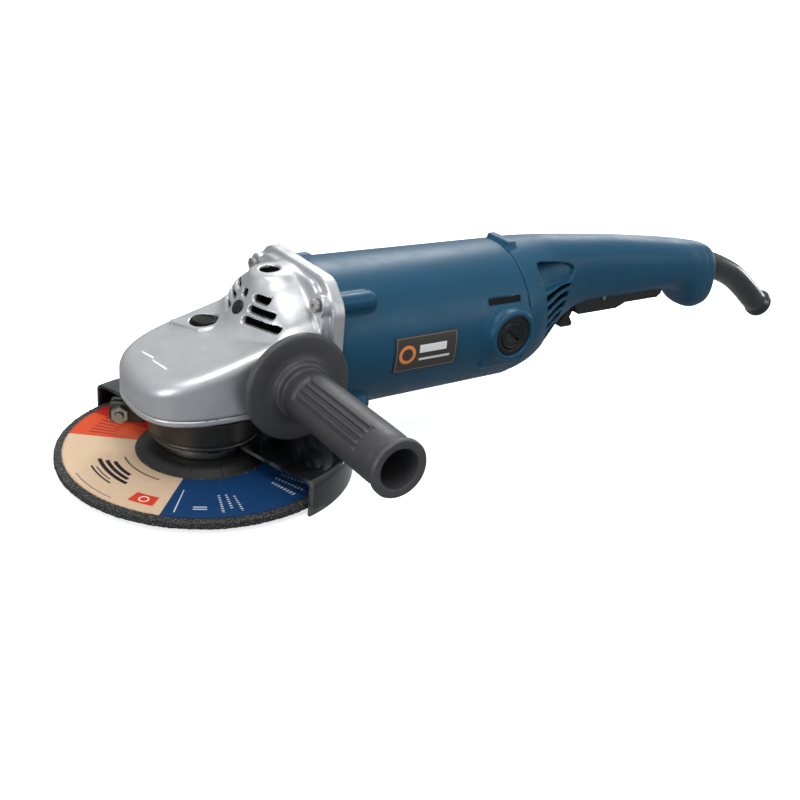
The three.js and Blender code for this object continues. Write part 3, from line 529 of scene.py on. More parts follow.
def surface(field, low, high, step):
    """Closed quad mesh of the zero level of a field, its points moved onto the level itself."""
    axes = [np.arange(a, b + step, step) for a, b in zip(low, high)]
    grid = np.meshgrid(*axes, indexing="ij", sparse=True)
    value = np.broadcast_to(field(*grid), [a.size for a in axes]).astype(np.float32)
    inside = np.zeros(value.shape, bool)
    inside[1:-1, 1:-1, 1:-1] = value[1:-1, 1:-1, 1:-1] < 0
    corners = sum(inside[i:inside.shape[0] - 1 + i, j:inside.shape[1] - 1 + j, k:inside.shape[2] - 1 + k]
                  .astype(np.int8) for i, j, k in np.ndindex(2, 2, 2))
    cell = np.argwhere((corners > 0) & (corners < 8))
    number = np.full(corners.shape, -1, np.int64)
    number[tuple(cell.T)] = np.arange(len(cell))
    total, count = np.zeros((len(cell), 3)), np.zeros((len(cell), 1))
    for corner, axis in EDGES:
        a = cell + corner
        b = a.copy()
        b[:, axis] += 1
        fa, fb = value[tuple(a.T)], value[tuple(b.T)]
        hit = inside[tuple(a.T)] != inside[tuple(b.T)]
        share = np.clip(np.where(hit & (fa != fb), fa / np.where(fa != fb, fa - fb, 1), 0.5), 0, 1)
        place = np.array(corner, float)[None, :].repeat(len(cell), 0)
        place[:, axis] += share
        total += place * hit[:, None]
        count += hit[:, None]
    points = np.array(low)[None, :] + step * (cell + total / count)
    faces = []
    for axis in range(3):
        first = np.take(inside, range(inside.shape[axis] - 1), axis)
        second = np.take(inside, range(1, inside.shape[axis]), axis)
        edge = np.argwhere(first != second)
        other = [k for k in range(3) if k != axis]
        edge = edge[(edge[:, other[0]] > 0) & (edge[:, other[1]] > 0)]
        flip = first[tuple(edge.T)] ^ (axis == 1)
        ring = []
        for da, db in ((1, 1), (0, 1), (0, 0), (1, 0)):
            at = edge.copy()
            at[:, other[0]] -= da
            at[:, other[1]] -= db
            ring.append(number[tuple(at.T)])
        quad = np.stack(ring, 1)
        faces.append(np.where(flip[:, None], quad, quad[:, ::-1]))
    faces = np.vstack(faces)
    for _ in range(3):
        d, g = slope(field, points)
        move = g * (d / np.maximum((g * g).sum(1), 0.1))[:, None]
        length = np.linalg.norm(move, axis=1, keepdims=True)
        points -= move * np.minimum(1, 0.5 * step / np.maximum(length, 1e-9))
    return points, faces


def slope(field, points, reach=0.05):
    """The field's value and gradient at points."""
    base = points.T
    d = field(*base)
    g = np.empty((len(points), 3))
    for k in range(3):
        shift = np.zeros((3, 1))
        shift[k] = reach
        g[:, k] = (field(*(base + shift)) - field(*(base - shift))) / (2 * reach)
    return d, g


# ---------------------------------------------------------------- meshes
def mesh_of(name, points, faces):
    """A mesh from points in mm."""
    mesh = bpy.data.meshes.new(name)
    mesh.from_pydata((np.asarray(points, float) * MM).tolist(), [], [tuple(int(i) for i in f) for f in faces])
    return mesh


def smooth_faces(mesh, crease):
    for poly in mesh.polygons:
        poly.use_smooth = True
    mesh.set_sharp_from_angle(angle=math.radians(crease))


def finish_piece(name, mesh, body, material, nodes=(), crease=40.0):
    """Makes a visible piece of a mesh, smooth where faces meet gently; with no body it is not attached to any body.
    """
    mesh.validate()
    mesh.update()
    smooth_faces(mesh, crease)
    piece = bpy.data.objects.new(name, mesh)
    bpy.context.scene.collection.objects.link(piece)
    mesh.materials.append(material)
    if nodes:
        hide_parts(*nodes)
    if body:
        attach(piece, body)
    return piece


def darken_inside(piece, outside, depth, material):
    """Gives the faces deeper than depth under the outer skin a material of their own, the painted shade of the
    hollows.
    """
    piece.data.materials.append(material)
    centres = np.empty(len(piece.data.polygons) * 3)
    piece.data.polygons.foreach_get("center", centres)
    deep = outside(*(centres.reshape(-1, 3).T / MM)) < -depth
    piece.data.polygons.foreach_set("material_index", deep.astype(np.int32))


def field_piece(name, field, low, high, step, body, material, nodes=(), cut=None):
    """A piece from a distance field; cut is (point, normal) of a plane that trims it flat."""
    mesh = mesh_of(name, *surface(field, low, high, step))
    if cut is not None:
        form = bmesh.new()
        form.from_mesh(mesh)
        geometry = form.verts[:] + form.edges[:] + form.faces[:]
        sliced = bmesh.ops.bisect_plane(form, geom=geometry, plane_co=Vector(cut[0]) * MM, plane_no=cut[1],
                                        clear_outer=True, dist=1e-7)
        rim = [e for e in sliced["geom_cut"] if isinstance(e, bmesh.types.BMEdge)]
        bmesh.ops.triangle_fill(form, use_beauty=True, edges=rim, normal=cut[1])
        form.to_mesh(mesh)
        form.free()
    return finish_piece(name, mesh, body, material, nodes, 60)


def ring_faces(rings, sides, closed=True):
    """Quads between neighbouring rings of points; closed joins the last ring to the first."""
    i, j = np.meshgrid(np.arange(rings if closed else rings - 1), np.arange(sides), indexing="ij")
    ni, nj = (i + 1) % rings, (j + 1) % sides
    return np.stack([i * sides + j, ni * sides + j, ni * sides + nj, i * sides + nj], -1).reshape(-1, 4)


def lathe(name, profile, sides, body, material, nodes=(), place=None, shape=None, crease=40.0):
    """A closed profile of (radius, height) turned about Z, then placed. shape may move its points."""
    profile = np.array(profile, float)
    r, h, angle = (np.broadcast_to(v, (len(profile), sides)).copy() for v in
                   (profile[:, :1], profile[:, 1:], np.arange(sides) * 2 * np.pi / sides))
    if shape is not None:
        r, h = shape(r, h, angle)
    points = np.stack([r * np.cos(angle), r * np.sin(angle), h], -1).reshape(-1, 3)
    faces = ring_faces(len(profile), sides)[:, ::-1].tolist()
    solid = (profile[:, 0] < 1e-6).any()
    if solid:
        faces = [f for f in faces if len({tuple(np.round(points[k], 6)) for k in f}) > 2]
    mesh = mesh_of(name, points if place is None else [place @ Vector(p) for p in points], faces)
    if solid:
        form = bmesh.new()
        form.from_mesh(mesh)
        bmesh.ops.remove_doubles(form, verts=form.verts[:], dist=1e-7)
        form.to_mesh(mesh)
        form.free()
    return finish_piece(name, mesh, body, material, nodes, crease)


def rounded(profile, radius, steps=3):
    """A closed profile with each corner rounded, as far as its sides allow."""
    p = np.array(profile, float)
    out = []
    for a, b, c in zip(np.roll(p, 1, 0), p, np.roll(p, -1, 0)):
        u, v = a - b, c - b
        lu, lv = np.linalg.norm(u), np.linalg.norm(v)
        r = min(radius, 0.45 * lu, 0.45 * lv)
        if b[0] < 1e-6 or r < 0.02:
            out.append(b)
            continue
        start, end = b + u / lu * r, b + v / lv * r
        for s in np.linspace(0, 1, steps + 1):
            out.append((1 - s) ** 2 * start + 2 * s * (1 - s) * b + s ** 2 * end)
    return np.array(out)


def axis_frame(origin, direction):
    """Places local Z along a direction, at an origin in mm."""
    turn = Vector(direction).to_track_quat("Z", "Y").to_matrix().to_4x4()
    return Matrix.Translation(Vector(origin)) @ turn


def circle(radius, count, x=0.0, y=0.0):
    turns = [2 * math.pi * i / count for i in range(count)]
    return [(x + radius * math.cos(t), y + radius * math.sin(t)) for t in turns]


def prism(outline, low, high, place=None):
    """Points and faces of a flat outline given a thickness along Z, then placed."""
    n = len(outline)
    points = [Vector((u, v, h)) for h in (low, high) for u, v in outline]
    faces = [tuple(reversed(range(n))), tuple(range(n, 2 * n))]
    faces += [(i, (i + 1) % n, n + (i + 1) % n, n + i) for i in range(n)]
    return [tuple(place @ p if place else p) for p in points], faces


def carved(piece, tools):
    """Cuts closed meshes (points, faces) from a piece, exactly."""
    for index, (points, faces) in enumerate(tools):
        tool = bpy.data.objects.new("tool", mesh_of("tool", points, faces))
        bpy.context.scene.collection.objects.link(tool)
        cut = piece.modifiers.new(f"cut{index}", "BOOLEAN")
        cut.operation, cut.solver, cut.object = "DIFFERENCE", "EXACT", tool
        bpy.context.view_layer.update()
        done = bpy.data.meshes.new_from_object(piece.evaluated_get(bpy.context.evaluated_depsgraph_get()))
        piece.modifiers.clear()
        piece.data = done
        bpy.data.objects.remove(tool)


def rounded_edges(piece, width, angle=35):
    bevel = piece.modifiers.new("edge", "BEVEL")
    bevel.width, bevel.segments, bevel.limit_method = width * MM, 2, "ANGLE"
    bevel.angle_limit = math.radians(angle)


def value_noise(points, scale, seed):
    """Smooth random numbers from -1 to 1 at points, the same on every run."""
    table = np.random.default_rng(seed).uniform(-1, 1, (64, 64, 64))
    q = np.asarray(points) / scale
    base = np.floor(q).astype(int)
    f = q - base
    f = f * f * (3 - 2 * f)
    total = 0
    for c in np.ndindex(2, 2, 2):
        at = (base + c) % 64
        weight = np.prod([f[..., k] if c[k] else 1 - f[..., k] for k in range(3)], 0)
        total = total + weight * table[at[..., 0], at[..., 1], at[..., 2]]
    return total


# ---------------------------------------------------------------- gear case
DOME = Outline(smooth_line([[8.6, 0], [9.6, 6], [12, 11.5], [16, 18.2], [21, 25], [24, 30.2], [27, 35.2], [31, 40],
                            [37, 43.6], [45, 45.5], [58.5, 47]], 5).tolist() + [[75, 47], [75, -15], [8.6, -15]])


def case_plan(x, y, inset=0.0):
    """Distance to the plan of the nose: a blunt rounded front and straight sides."""
    return squircle(np.maximum(NOSE_X - x, 0), np.abs(y), NOSE_LENGTH - inset, NOSE_WIDTH - inset, NOSE_POWER, -30)


def octagon(y, z, half, chamfer, edge):
    slant = (np.abs(y) + np.abs(z) - 2 * half + chamfer) / math.sqrt(2)
    return meet(meet(np.abs(y) - half, np.abs(z) - half, edge), slant, edge)


def case_outside(x, y, z):
    """The gear case as a solid block, without its bores and hollows."""
    cz, side = z - MOTOR_Z, np.abs(y)
    top = (z - NOSE_TOP_Z - NOSE_SLOPE * (x - NOSE_TOP_X)) * 0.9604
    nose = meet(case_plan(x, y), top, 7.0)
    nose = meet(meet(nose, x - 56, 0.5), CASE_SEAM_Z - z, 0.9)
    body = unite(nose, meet(DOME(x, np.hypot(y, cz)), x - 60, 0.5), 5)
    flange = meet(octagon(y, cz, 49.8, 14.5, 4), slab(x, 57.5, 65.9), 1.3)
    step = meet(octagon(y, cz, 46.2, 15.5, 4), slab(x, 52.5, 60), 1.8)
    body = unite(unite(body, step, 3.0), flange, 1.2)
    body = unite(body, rod(x - HANDLE_X, z - HANDLE_Z, side, 14, 36, HANDLE_FACE_Y, 1.2), 4)
    body = unite(body, rod(side - SCREW_Y, np.abs(cz) - SCREW_DZ, x, 6.8, 51.8, 60, 1.0), 1.5)
    share = np.clip(((LOCK_X - x) * 15 + (y - LOCK_Y) * 12) / 369, 0, 1)
    teardrop = np.hypot(x - LOCK_X + 15 * share, y - LOCK_Y - 12 * share) - (12.6 - 10.6 * share)
    raised = slab(z, 60, 82.3 - 0.16 * np.maximum(LOCK_X - x, 0))
    body = unite(body, meet(teardrop, raised, 1.0), 0.9)
    body = unite(body, rod(x - TOP_BOSS_X, y, z, 11.5, 97, TOP_BOSS_Z, 1.4), 8)
    return np.maximum(body, np.where(x < 48.3, CASE_SEAM_Z - z, -9))


def gear_case(x, y, z):
    cz, side = z - MOTOR_Z, np.abs(y)
    r = np.hypot(y, cz)
    su, sv = side - SCREW_Y, np.abs(cz) - SCREW_DZ
    ring = highest(slab(r, 21, 41), slab(x, 49, 70))
    upper = highest(DOME(x, r) + 4.2, 20.5 - r, 84 - z, x - 50)
    bores = [rod(x, y, z, 36, 20, 65.6), rod(x, y, z, 9.3, 60, 73), rod(y, cz, x, 7.5, 12, 21),
             rod(y, cz, x, 12.8, 20, 48), rod(y, cz, x, 16.3, 47, 70)]
    body = carve(case_outside(x, y, z), lowest(ring, upper, *bores), 0.5)
    holes = [rod(x - TOP_BOSS_X, y, z, 6.3, 100, 130), rod(x - HANDLE_X, z - HANDLE_Z, side, 6.3, 32, 60),
             rod(x - LOCK_X, y - LOCK_Y, z, 8.7, 69.5, 100), rod(x - LOCK_X, y - LOCK_Y, z, 3, 60, 80),
             rod(su, sv, x, 2.7, 49, 80)]
    body = carve(carve(body, lowest(*holes), 0.8), rod(su, sv, x, 6.2, 20, 51.4, 1.0), 2.0)
    slots = meet(side - 2.7, np.abs(z - 104.6) - 2.5, 0.8)
    for level, length in ((104.6, 12.5), (98.3, 20), (91.8, 26)):
        middle = np.clip(side, 8.8 + 2.2, 8.8 + length - 2.2)
        slots = np.minimum(slots, np.hypot(side - middle, z - level) - 2.2)
    return carve(body, np.maximum(slots, slab(x, 5, 38)), 0.5)


def bearing_box(x, y, z):
    plate = meet(meet(case_plan(x, y), x - 48.0, 0.5), slab(z, 42.6, 46.3), 0.7)
    under = meet(case_plan(x, y, 5), slab(z, 41.0, 44), 0.6)
    body = unite(unite(plate, np.maximum(under, x - 43), 1.0), rod(x, y, z, 31, 22.8, 44, 0.7), 1.2)
    for turn in (-140, -40, 40, 140):
        u, v = 36.5 * math.cos(math.radians(turn)), 33.5 * math.sin(math.radians(turn))
        body = unite(body, rod(x - u, y - v, z, 4.4, 39.8, 44, 0.5), 0.6)
    body = carve(body, lowest(rod(x, y, z, 17.8, 27.7, 50), rod(x, y, z, 12, 10, 30)), 0.5)
    return np.maximum(body, -highest(slab(z, 38.85, 39.75), slab(np.hypot(x, y), 30.2, 34)))


# ---------------------------------------------------------------- motor housing
def motor_housing(x, y, z):
    cz, side = z - MOTOR_Z, np.abs(y)
    r = np.hypot(y, cz)
    over_barrel = r - HOUSING_R + (x - HOUSING_X) * HOUSING_TAPER
    barrel = meet(over_barrel, slab(x, HOUSING_X, HOUSING_END_X), 1.0)
    ridge = capsule(side - SCREW_Y + 1.2, np.abs(cz) - SCREW_DZ + 1.2, x, 5.6, 50, 93)
    body = unite(barrel, np.maximum(ridge, HOUSING_X - x), 4.5)
    pad = unite(np.hypot(x - BRUSH_X, cz) - 21.5, meet(slab(cz, -25, -2), np.abs(x - 193) - 17.0, 5), 4)
    pad = meet(np.maximum(pad, 30 - side), over_barrel - 1.3, 1.0)
    body = unite(body, np.maximum(pad, x - HOUSING_END_X), 1.6)
    boss = rod(x - BRUSH_X, cz, side, 17.4, 36, 53, 1.8)
    body = unite(body, np.maximum(boss, x - 212.0), 3.5)
    seat = highest(r - 14.5, slab(x, 206.2, HOUSING_END_X))
    arms = lowest(np.abs(y - cz), np.abs(y + cz)) / math.sqrt(2) - 3
    arms = highest(arms, r - 46, slab(x, 207, 211))
    body = np.minimum(carve(body, rod(y, cz, x, 45, 50, 230), 0.6), meet(lowest(seat, arms), 11.3 - r, 0.3))
    cuts = lowest(rod(x - BRUSH_X, cz, side, 9.3, 30, 60), rod(x - BRUSH_X, cz, side, 13.9, 46, 60),
                  rod(side - SCREW_Y, np.abs(cz) - SCREW_DZ, x, 2.6, 60, 86))
    slot = meet(np.abs(x - SLOT_X) - 13.4, np.abs(z - SLOT_Z) - 1.9, 0.5)
    return carve(carve(body, cuts, 0.7), np.maximum(slot, 46.5 - r), 0.4)


def slot_shadow_sheet(x, y, z):
    """A dark sheet behind the narrow slot above the brush cap: painted shade where the inside of the slot lies in
    shadow.
    """
    shape = meet(np.abs(x - SLOT_X) - 14.0, np.abs(z - SLOT_Z) - 2.4, 0.3)
    return meet(shape, slab(np.hypot(y, z - MOTOR_Z), 45.6, 46.95), 0.1)


# ---------------------------------------------------------------- tail handle
TAIL_WIDTH = smooth_line([[205, 47.4], [212, 47.2], [225, 44.6], [238, 38.5], [250, 31.5], [265, 26], [290, 22.8],
                          [320, 21.6], [400, 21.5], [412, 20.9], [419, 20.0], [427, 18.0], [435, 15.5]])
TAIL_TOP = smooth_line([[205, 118.2], [212, 118.6], [225, 119.3], [250, 118.6], [265, 117.4], [290, 115.2],
                        [320, 112.4], [350, 108.8], [380, 104.8], [400, 101.8], [412, 99.6], [419, 98.2],
                        [427, 96.0], [435, 93.4]])
TAIL_BOTTOM = smooth_line([[205, 24.4], [212, 24.6], [225, 26.8], [238, 32], [250, 41], [262, 53], [275, 62.0],
                           [290, 66.2], [330, 66.5], [380, 66.4], [391, 64.2], [397.5, 57.5], [404, 50],
                           [412, 46.9], [419, 47.5], [427, 49.4], [435, 52.5]])
WALLS = np.array([[205, 8], [240, 8.5], [256, 6], [275, 4], [292, 3.4], [380, 3.4], [418, 3.6], [440, 4]])
SCOOP = Outline(smooth_line([[227.5, 104], [228.0, 108.5], [232, 109.6], [243, 108.2], [254, 106.4], [263, 104],
                             [266.5, 101], [265, 97], [260.5, 93.0], [246, 92.4], [231, 92.2], [228.8, 97],
                             [227.5, 104]], 4), 0.3)
VENTS = Outline(smooth_line([[230.6, 90.8], [246, 91.0], [261.8, 91.4], [262.4, 87], [260.6, 79], [257, 71],
                             [252.6, 63], [248.5, 56], [243.5, 49.5], [239.5, 52], [235.4, 61], [232, 75],
                             [230.5, 84], [230.6, 90.8]], 4), 0.3)


def tail_skin(x, y, z, wall=0.0):
    """Distance to the tail's skin, a squarish oval whose size follows three tables along X."""
    at = np.clip(x, 205, 435)
    half = np.maximum(np.interp(at, *TAIL_WIDTH.T) - wall, 1)
    top, bottom = np.interp(at, *TAIL_TOP.T) - wall, np.interp(at, *TAIL_BOTTOM.T) + wall
    power = np.clip(2 + (at - 225) / 100, 2, 2.5)
    return squircle(np.abs(y), np.abs(z - (top + bottom) / 2), half, np.maximum((top - bottom) / 2, 1), power, -25)


def tail(x, y, z):
    side = np.abs(y)
    skin = tail_skin(x, y, z)
    body = meet(meet(skin, TAIL_FRONT_X - x, 0.8), x - TAIL_END_X, 7.0)
    body = unite(body, block(x, y, z, (213.9, -12.5, 105), (221.3, 12.5, 121.2), 2.0), 1.5)
    hollow = np.maximum(tail_skin(x, y, z, np.interp(x, *WALLS.T)), slab(x, 200, TAIL_END_X - 4))
    depth = 8.2 - 5.4 * np.clip((x - 231) / 33, 0, 1)
    body = carve(body, highest(SCOOP(x, z), -(skin + depth), 12 - side), 0.8)
    levels = [91.0 - VENT_PITCH * row + 0.06 * (x - 232) - 0.12 * (side - 36) for row in range(VENT_BLADES)]
    blades = highest(lowest(*(np.abs(z - level) - 1.1 for level in levels)), -(skin + 7.5), skin + 0.5)
    vents = highest(VENTS(x, z), -(skin + VENT_DEPTH), 12 - side, -blades)
    body = carve(body, lowest(hollow, vents), 0.5)
    body = carve(body, block(x, y, z, (279, -14, 30), (375, 14, 81), 0.5), 0.6)
    body = carve(body, np.hypot(x - 309.4, z - 70.8) - 2.1, 0.3)
    lean = math.atan2(6.7, 20)
    along = (x - 436) * math.cos(lean) - (z - 78) * math.sin(lean)
    across = (x - 436) * math.sin(lean) + (z - 78) * math.cos(lean)
    return carve(body, rod(across, y, along, 10.3, -14, 24), 0.6)


# ---------------------------------------------------------------- guard, wheel, handle and small pieces
def guard_shell(material):
    """Pressed guard as one closed sheet: dished plate, rolled corner and skirt; in front only a narrow neck."""
    turns = np.radians([*np.linspace(-74, 114, 189), *np.linspace(114.05, 285.95, 172)])
    full = np.arange(len(turns)) < 189
    rim, under = GUARD_RADIUS - GUARD_BEND, GUARD_TOP_Z - GUARD_PLATE
    plate = [(r, 0.9 * math.exp(-((r - 76) / 3.0) ** 2)) for r in np.linspace(GUARD_BORE, rim, 9)]
    outer, inner = ([(r, top - dish) for r, dish in plate] for top in (GUARD_TOP_Z, under))
    for line, top, bend in ((outer, GUARD_TOP_Z, GUARD_BEND), (inner, under, GUARD_BEND - GUARD_SHEET)):
        corner = np.linspace(0, math.pi / 2, 7)[1:]
        line += [(rim + bend * math.sin(s), top - bend * (1 - math.cos(s))) for s in corner]
        line += [(rim + bend, z) for z in (12.0, 8.0, 4.0, 0.0, GUARD_LOW_Z)]
    necks = [[(r, top) for r in np.linspace(GUARD_BORE, NECK_RADIUS, 9)] for top in (GUARD_TOP_Z, under)]
    points, start = [], []
    for turn, whole in zip(turns, full):
        start.append(len(points))
        lines = outer + inner if whole else necks[0] + necks[1]
        points += [(r * math.cos(turn), r * math.sin(turn), z) for r, z in lines]

    def vertex(column, sheet_side, k):
        size = len(outer) if full[column] else len(plate)
        return start[column] + sheet_side * size + k

    faces = []
    for c in range(len(turns)):
        d = (c + 1) % len(turns)
        last = len(outer if full[c] and full[d] else plate) - 1
        for k in range(last):
            faces.append((vertex(c, 0, k), vertex(c, 0, k + 1), vertex(d, 0, k + 1), vertex(d, 0, k)))
            faces.append((vertex(c, 1, k), vertex(d, 1, k), vertex(d, 1, k + 1), vertex(c, 1, k + 1)))
        faces.append((vertex(c, 0, 0), vertex(d, 0, 0), vertex(d, 1, 0), vertex(c, 1, 0)))
        faces.append((vertex(c, 0, last), vertex(c, 1, last), vertex(d, 1, last), vertex(d, 0, last)))
        if full[c] != full[d]:
            end = c if full[c] else d
            for k in range(len(plate) - 1, len(outer) - 1):
                quad = (vertex(end, 0, k), vertex(end, 0, k + 1), vertex(end, 1, k + 1), vertex(end, 1, k))
                faces.append(quad if end == d else quad[::-1])
    piece = finish_piece("guard_shell", mesh_of("guard_shell", points, faces), "guard", material,
                         ["wheel_guard"], 50)
    rounded_edges(piece, 0.4, angle=50)


def guard_collar(x, y, z):
    """Clamp collar: a rolled band with two ears, split between them."""
    r = np.hypot(x, y)
    turn = math.radians(151.5)
    u = x * math.cos(turn) + y * math.sin(turn)
    v = y * math.cos(turn) - x * math.sin(turn)
    body = meet(r - 34.4, slab(z, 20.3, 37.6), 0.8)
    ears = meet(block(u, v, z, (30, -4.6, 23), (57, 4.6, 36), 0.8), (np.hypot(u - 46, z - 29.5) - 11.5), 0.8)
    body = carve(unite(body, ears, 1.5), r - GUARD_BORE, 0.5)
    body = carve(body, np.maximum(np.abs(v) - 1.6, 20 - u), 0.4)
    body = carve(body, np.hypot(u - 50, z - 29.5) - 2.8, 0.3)
    return np.maximum(body, -meet(np.abs(z - 22.6) - 0.5, 33.9 - r, 0.2))


def handle_surface(r, t, angle):
    """Raised ribs in a sunk panel, on two opposite sides of the grip."""
    for middle in (135.0, 315.0):
        arc = ((np.degrees(angle) - middle + 180) % 360 - 180) * math.pi / 180 * 15.6
        grip = (r > 14.8) & (r < 17.0) & (t > 18) & (t < 97)
        ends = np.clip(np.minimum(t - 21.5, 89.5 - t) / 0.7, 0, 1)
        sides = np.clip((8.6 - np.abs(arc)) / 0.6, 0, 1)
        ridge = np.clip(np.abs((arc + 2.05) % 4.1 - 2.05) * -1.6 + 2.1, 0, 1)
        length = np.clip(np.minimum(t - 23.5, 87.5 - t) / 0.8, 0, 1)
        r = np.where(grip, r - ends * sides * (1.3 - 1.3 * ridge * length), r)
    return r, t


def handle_profile():
    hub = [[6.3, 0], [33.3, 0], [33.3, 2.6], [32.6, 3.6], [31.4, 4.1], [24, 4.3], [18.6, 4.4], [18.0, 5.0],
           [17.8, 8.2], [17.2, 9.2], [16.2, 9.5], [14.9, 9.6], [14.3, 10.2], [14.2, 12.5], [14.8, 15.5], [15.4, 18.5]]
    end = [[15.3, 99.5], [14.4, 102.6], [13.9, 104.2], [14.6, 105.4], [16.3, 106.4], [16.9, 107.6], [16.9, 109.4],
           [16.2, 110.4], [13.0, 110.5], [11.7, 109.9], [11.4, 108.6], [11.3, 60], [10.6, 58], [6.3, 54]]
    return hub + [[15.6, t] for t in np.linspace(20, 97, 78)] + end


def handle_place():
    """Local Z points outward along -Y; local X and Y lie so that the ribbed panel faces up and forward."""
    axes = Matrix(((1, 0, 0), (0, 0, 1), (0, -1, 0)))
    return Matrix.Translation(Vector((HANDLE_X, -50.5, HANDLE_Z))) @ axes.transposed().to_4x4()


def grit_rim(r, h, angle):
    """Broken-grain relief on the rim and the bare outer ring of the wheel."""
    p = np.stack([r * np.cos(angle), r * np.sin(angle), h], -1)
    bare = np.clip((r - 84.4) / 1.0, 0, 1)
    rough = value_noise(p, 1.1, 5) * 0.28 + value_noise(p, 0.6, 6) * 0.16
    low = h < 5.3
    r2 = r + np.where(r > 89, -0.35 + rough * 0.9, 0)
    h2 = h + np.where(low, 0.25, -0.18) * bare + rough * 0.5 * bare * np.where(low, -1, 1)
    seam = np.abs((np.degrees(angle) - 8) % 30 - 15)
    groove = np.clip(1 - seam / 0.9, 0, 1) * ((r > 25) & (r < 41) & (h > 5.9))
    return r2, np.clip(h2 - 0.45 * groove, 1.2, 10.7)


def wheel_profile():
    """Hub, sloping shoulder, flat face with fine steps near the rim, rim and underside."""
    hub = [[r, 10.7] for r in (11.2, 20, 25.2, 29, 32, 34.2)]
    shoulder = [[35.6, 10.3], [37.2, 9.2], [39.4, 7.2], [40.6, 6.35], [42, 6.0]]
    flat = [[r, 6.0] for r in [*np.arange(46, 84, 4), *np.arange(84.2, 89.4, 0.7)]]
    rim = [[89.7, 5.9]] + [[90, z] for z in np.arange(5.4, 1.7, -0.6)] + [[89.7, 1.3]]
    under = [[r, 1.2] for r in [*np.arange(89.0, 84, -0.7), 60, 38]]
    return hub + shoulder + flat + rim + under + [[36, 1.5], [32, 4.2], [30, 5.1], [28, 5.3], [11.2, 5.3]]


CORD_ROUTE = [[424, 82], [444, 75.3], [467, 65], [486, 52], [500, 41], [511, 34.5]]


def boot(material):
    """Moulded cord guard: a curved taper with a flared, rounded mouth and a narrow bore."""
    line = smooth_line(CORD_ROUTE, 24)
    length = np.concatenate([[0], np.cumsum(np.linalg.norm(np.diff(line, axis=0), axis=1))])
    share = np.concatenate([np.linspace(0, 0.9, 60), np.linspace(0.905, 1, 22)])
    at = np.stack([np.interp(share * length[-1], length, line[:, k]) for k in range(2)], 1)
    ahead = np.gradient(at, axis=0)
    ahead /= np.linalg.norm(ahead, axis=1, keepdims=True)
    outside = np.interp(share, [0, 0.2, 0.4, 0.6, 0.8, 0.92, 0.94, 0.955, 0.985, 0.995, 1],
                        [10, 10, 9.9, 9.7, 9.6, 9.5, 10.6, 11.5, 11.6, 11.1, 10.2])
    bore = np.interp(share, [0, 0.8, 0.93, 1], [4.6, 4.6, 5.4, 6.6])
    sides = 64
    turn = np.arange(sides) * 2 * np.pi / sides
    walls = []
    for radius, path, tangent in ((outside, at, ahead), (bore[::-1], at[::-1], ahead[::-1])):
        up = radius[:, None] * np.sin(turn)
        walls.append(np.stack([path[:, :1] - tangent[:, 1:] * up, radius[:, None] * np.cos(turn),
                               path[:, 1:] + tangent[:, :1] * up], -1))
    points = np.concatenate(walls).reshape(-1, 3)
    mesh = mesh_of("cord_boot", points, ring_faces(2 * len(share), sides))
    finish_piece("cord_boot", mesh, "body", material, ["cord_guard"], 50)


def turn_mark(name, start, end, material):
    """A thin raised stroke cast on the sloping top of the nose."""
    lift = Vector((-NOSE_SLOPE, 0, 1)).normalized()
    a, b = (Vector((x, y, NOSE_TOP_Z + NOSE_SLOPE * (x - NOSE_TOP_X))) for x, y in (start, end))
    along, length = (b - a).normalized(), (b - a).length
    place = Matrix((along, lift.cross(along), lift)).transposed().to_4x4()
    place.translation = a - lift * 0.6
    outline = [(0, -0.2), (length * 0.2, -0.8), (length, -0.6), (length, 0.6), (length * 0.8, 0.8), (0, 0.2)]
    mesh = mesh_of(name, *prism(outline, 0, 1.15, place))
    rounded_edges(finish_piece(name, mesh, "body", material, (), 30), 0.2, angle=40)


def lock_spring(material):
    """Coil spring under the lock button, from its foot on the case up to the button."""
    coils, sides, foot, top, wire, radius = 4.25, 10, 70.35, 77.55, 0.5, 5.0
    turn = np.linspace(0, coils * 2 * np.pi, 180)
    level = np.interp(turn / (2 * np.pi), [0, 0.5, coils - 0.5, coils], [foot, foot + 0.5, top - 0.5, top])
    around = np.arange(sides) * 2 * np.pi / sides
    reach = radius + wire * np.cos(around)[None]
    points = np.stack([LOCK_X + reach * np.cos(turn)[:, None], LOCK_Y + reach * np.sin(turn)[:, None],
                       level[:, None] + wire * np.sin(around)[None]], -1).reshape(-1, 3)
    ends = [tuple(range(sides)), tuple(range(len(points) - 1, len(points) - 1 - sides, -1))]
    mesh = mesh_of("lock_spring_coil", points, ends + ring_faces(len(turn), sides, closed=False).tolist())
    piece = finish_piece("lock_spring_coil", mesh, None, material, ["shaft_lock_spring"])
    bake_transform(piece)


def on_side(side, *names):
    """The one of these CAD nodes that lies on this side of y = 0."""
    return next(name for name in names if sum(corner.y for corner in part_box(name)) * side > 0)


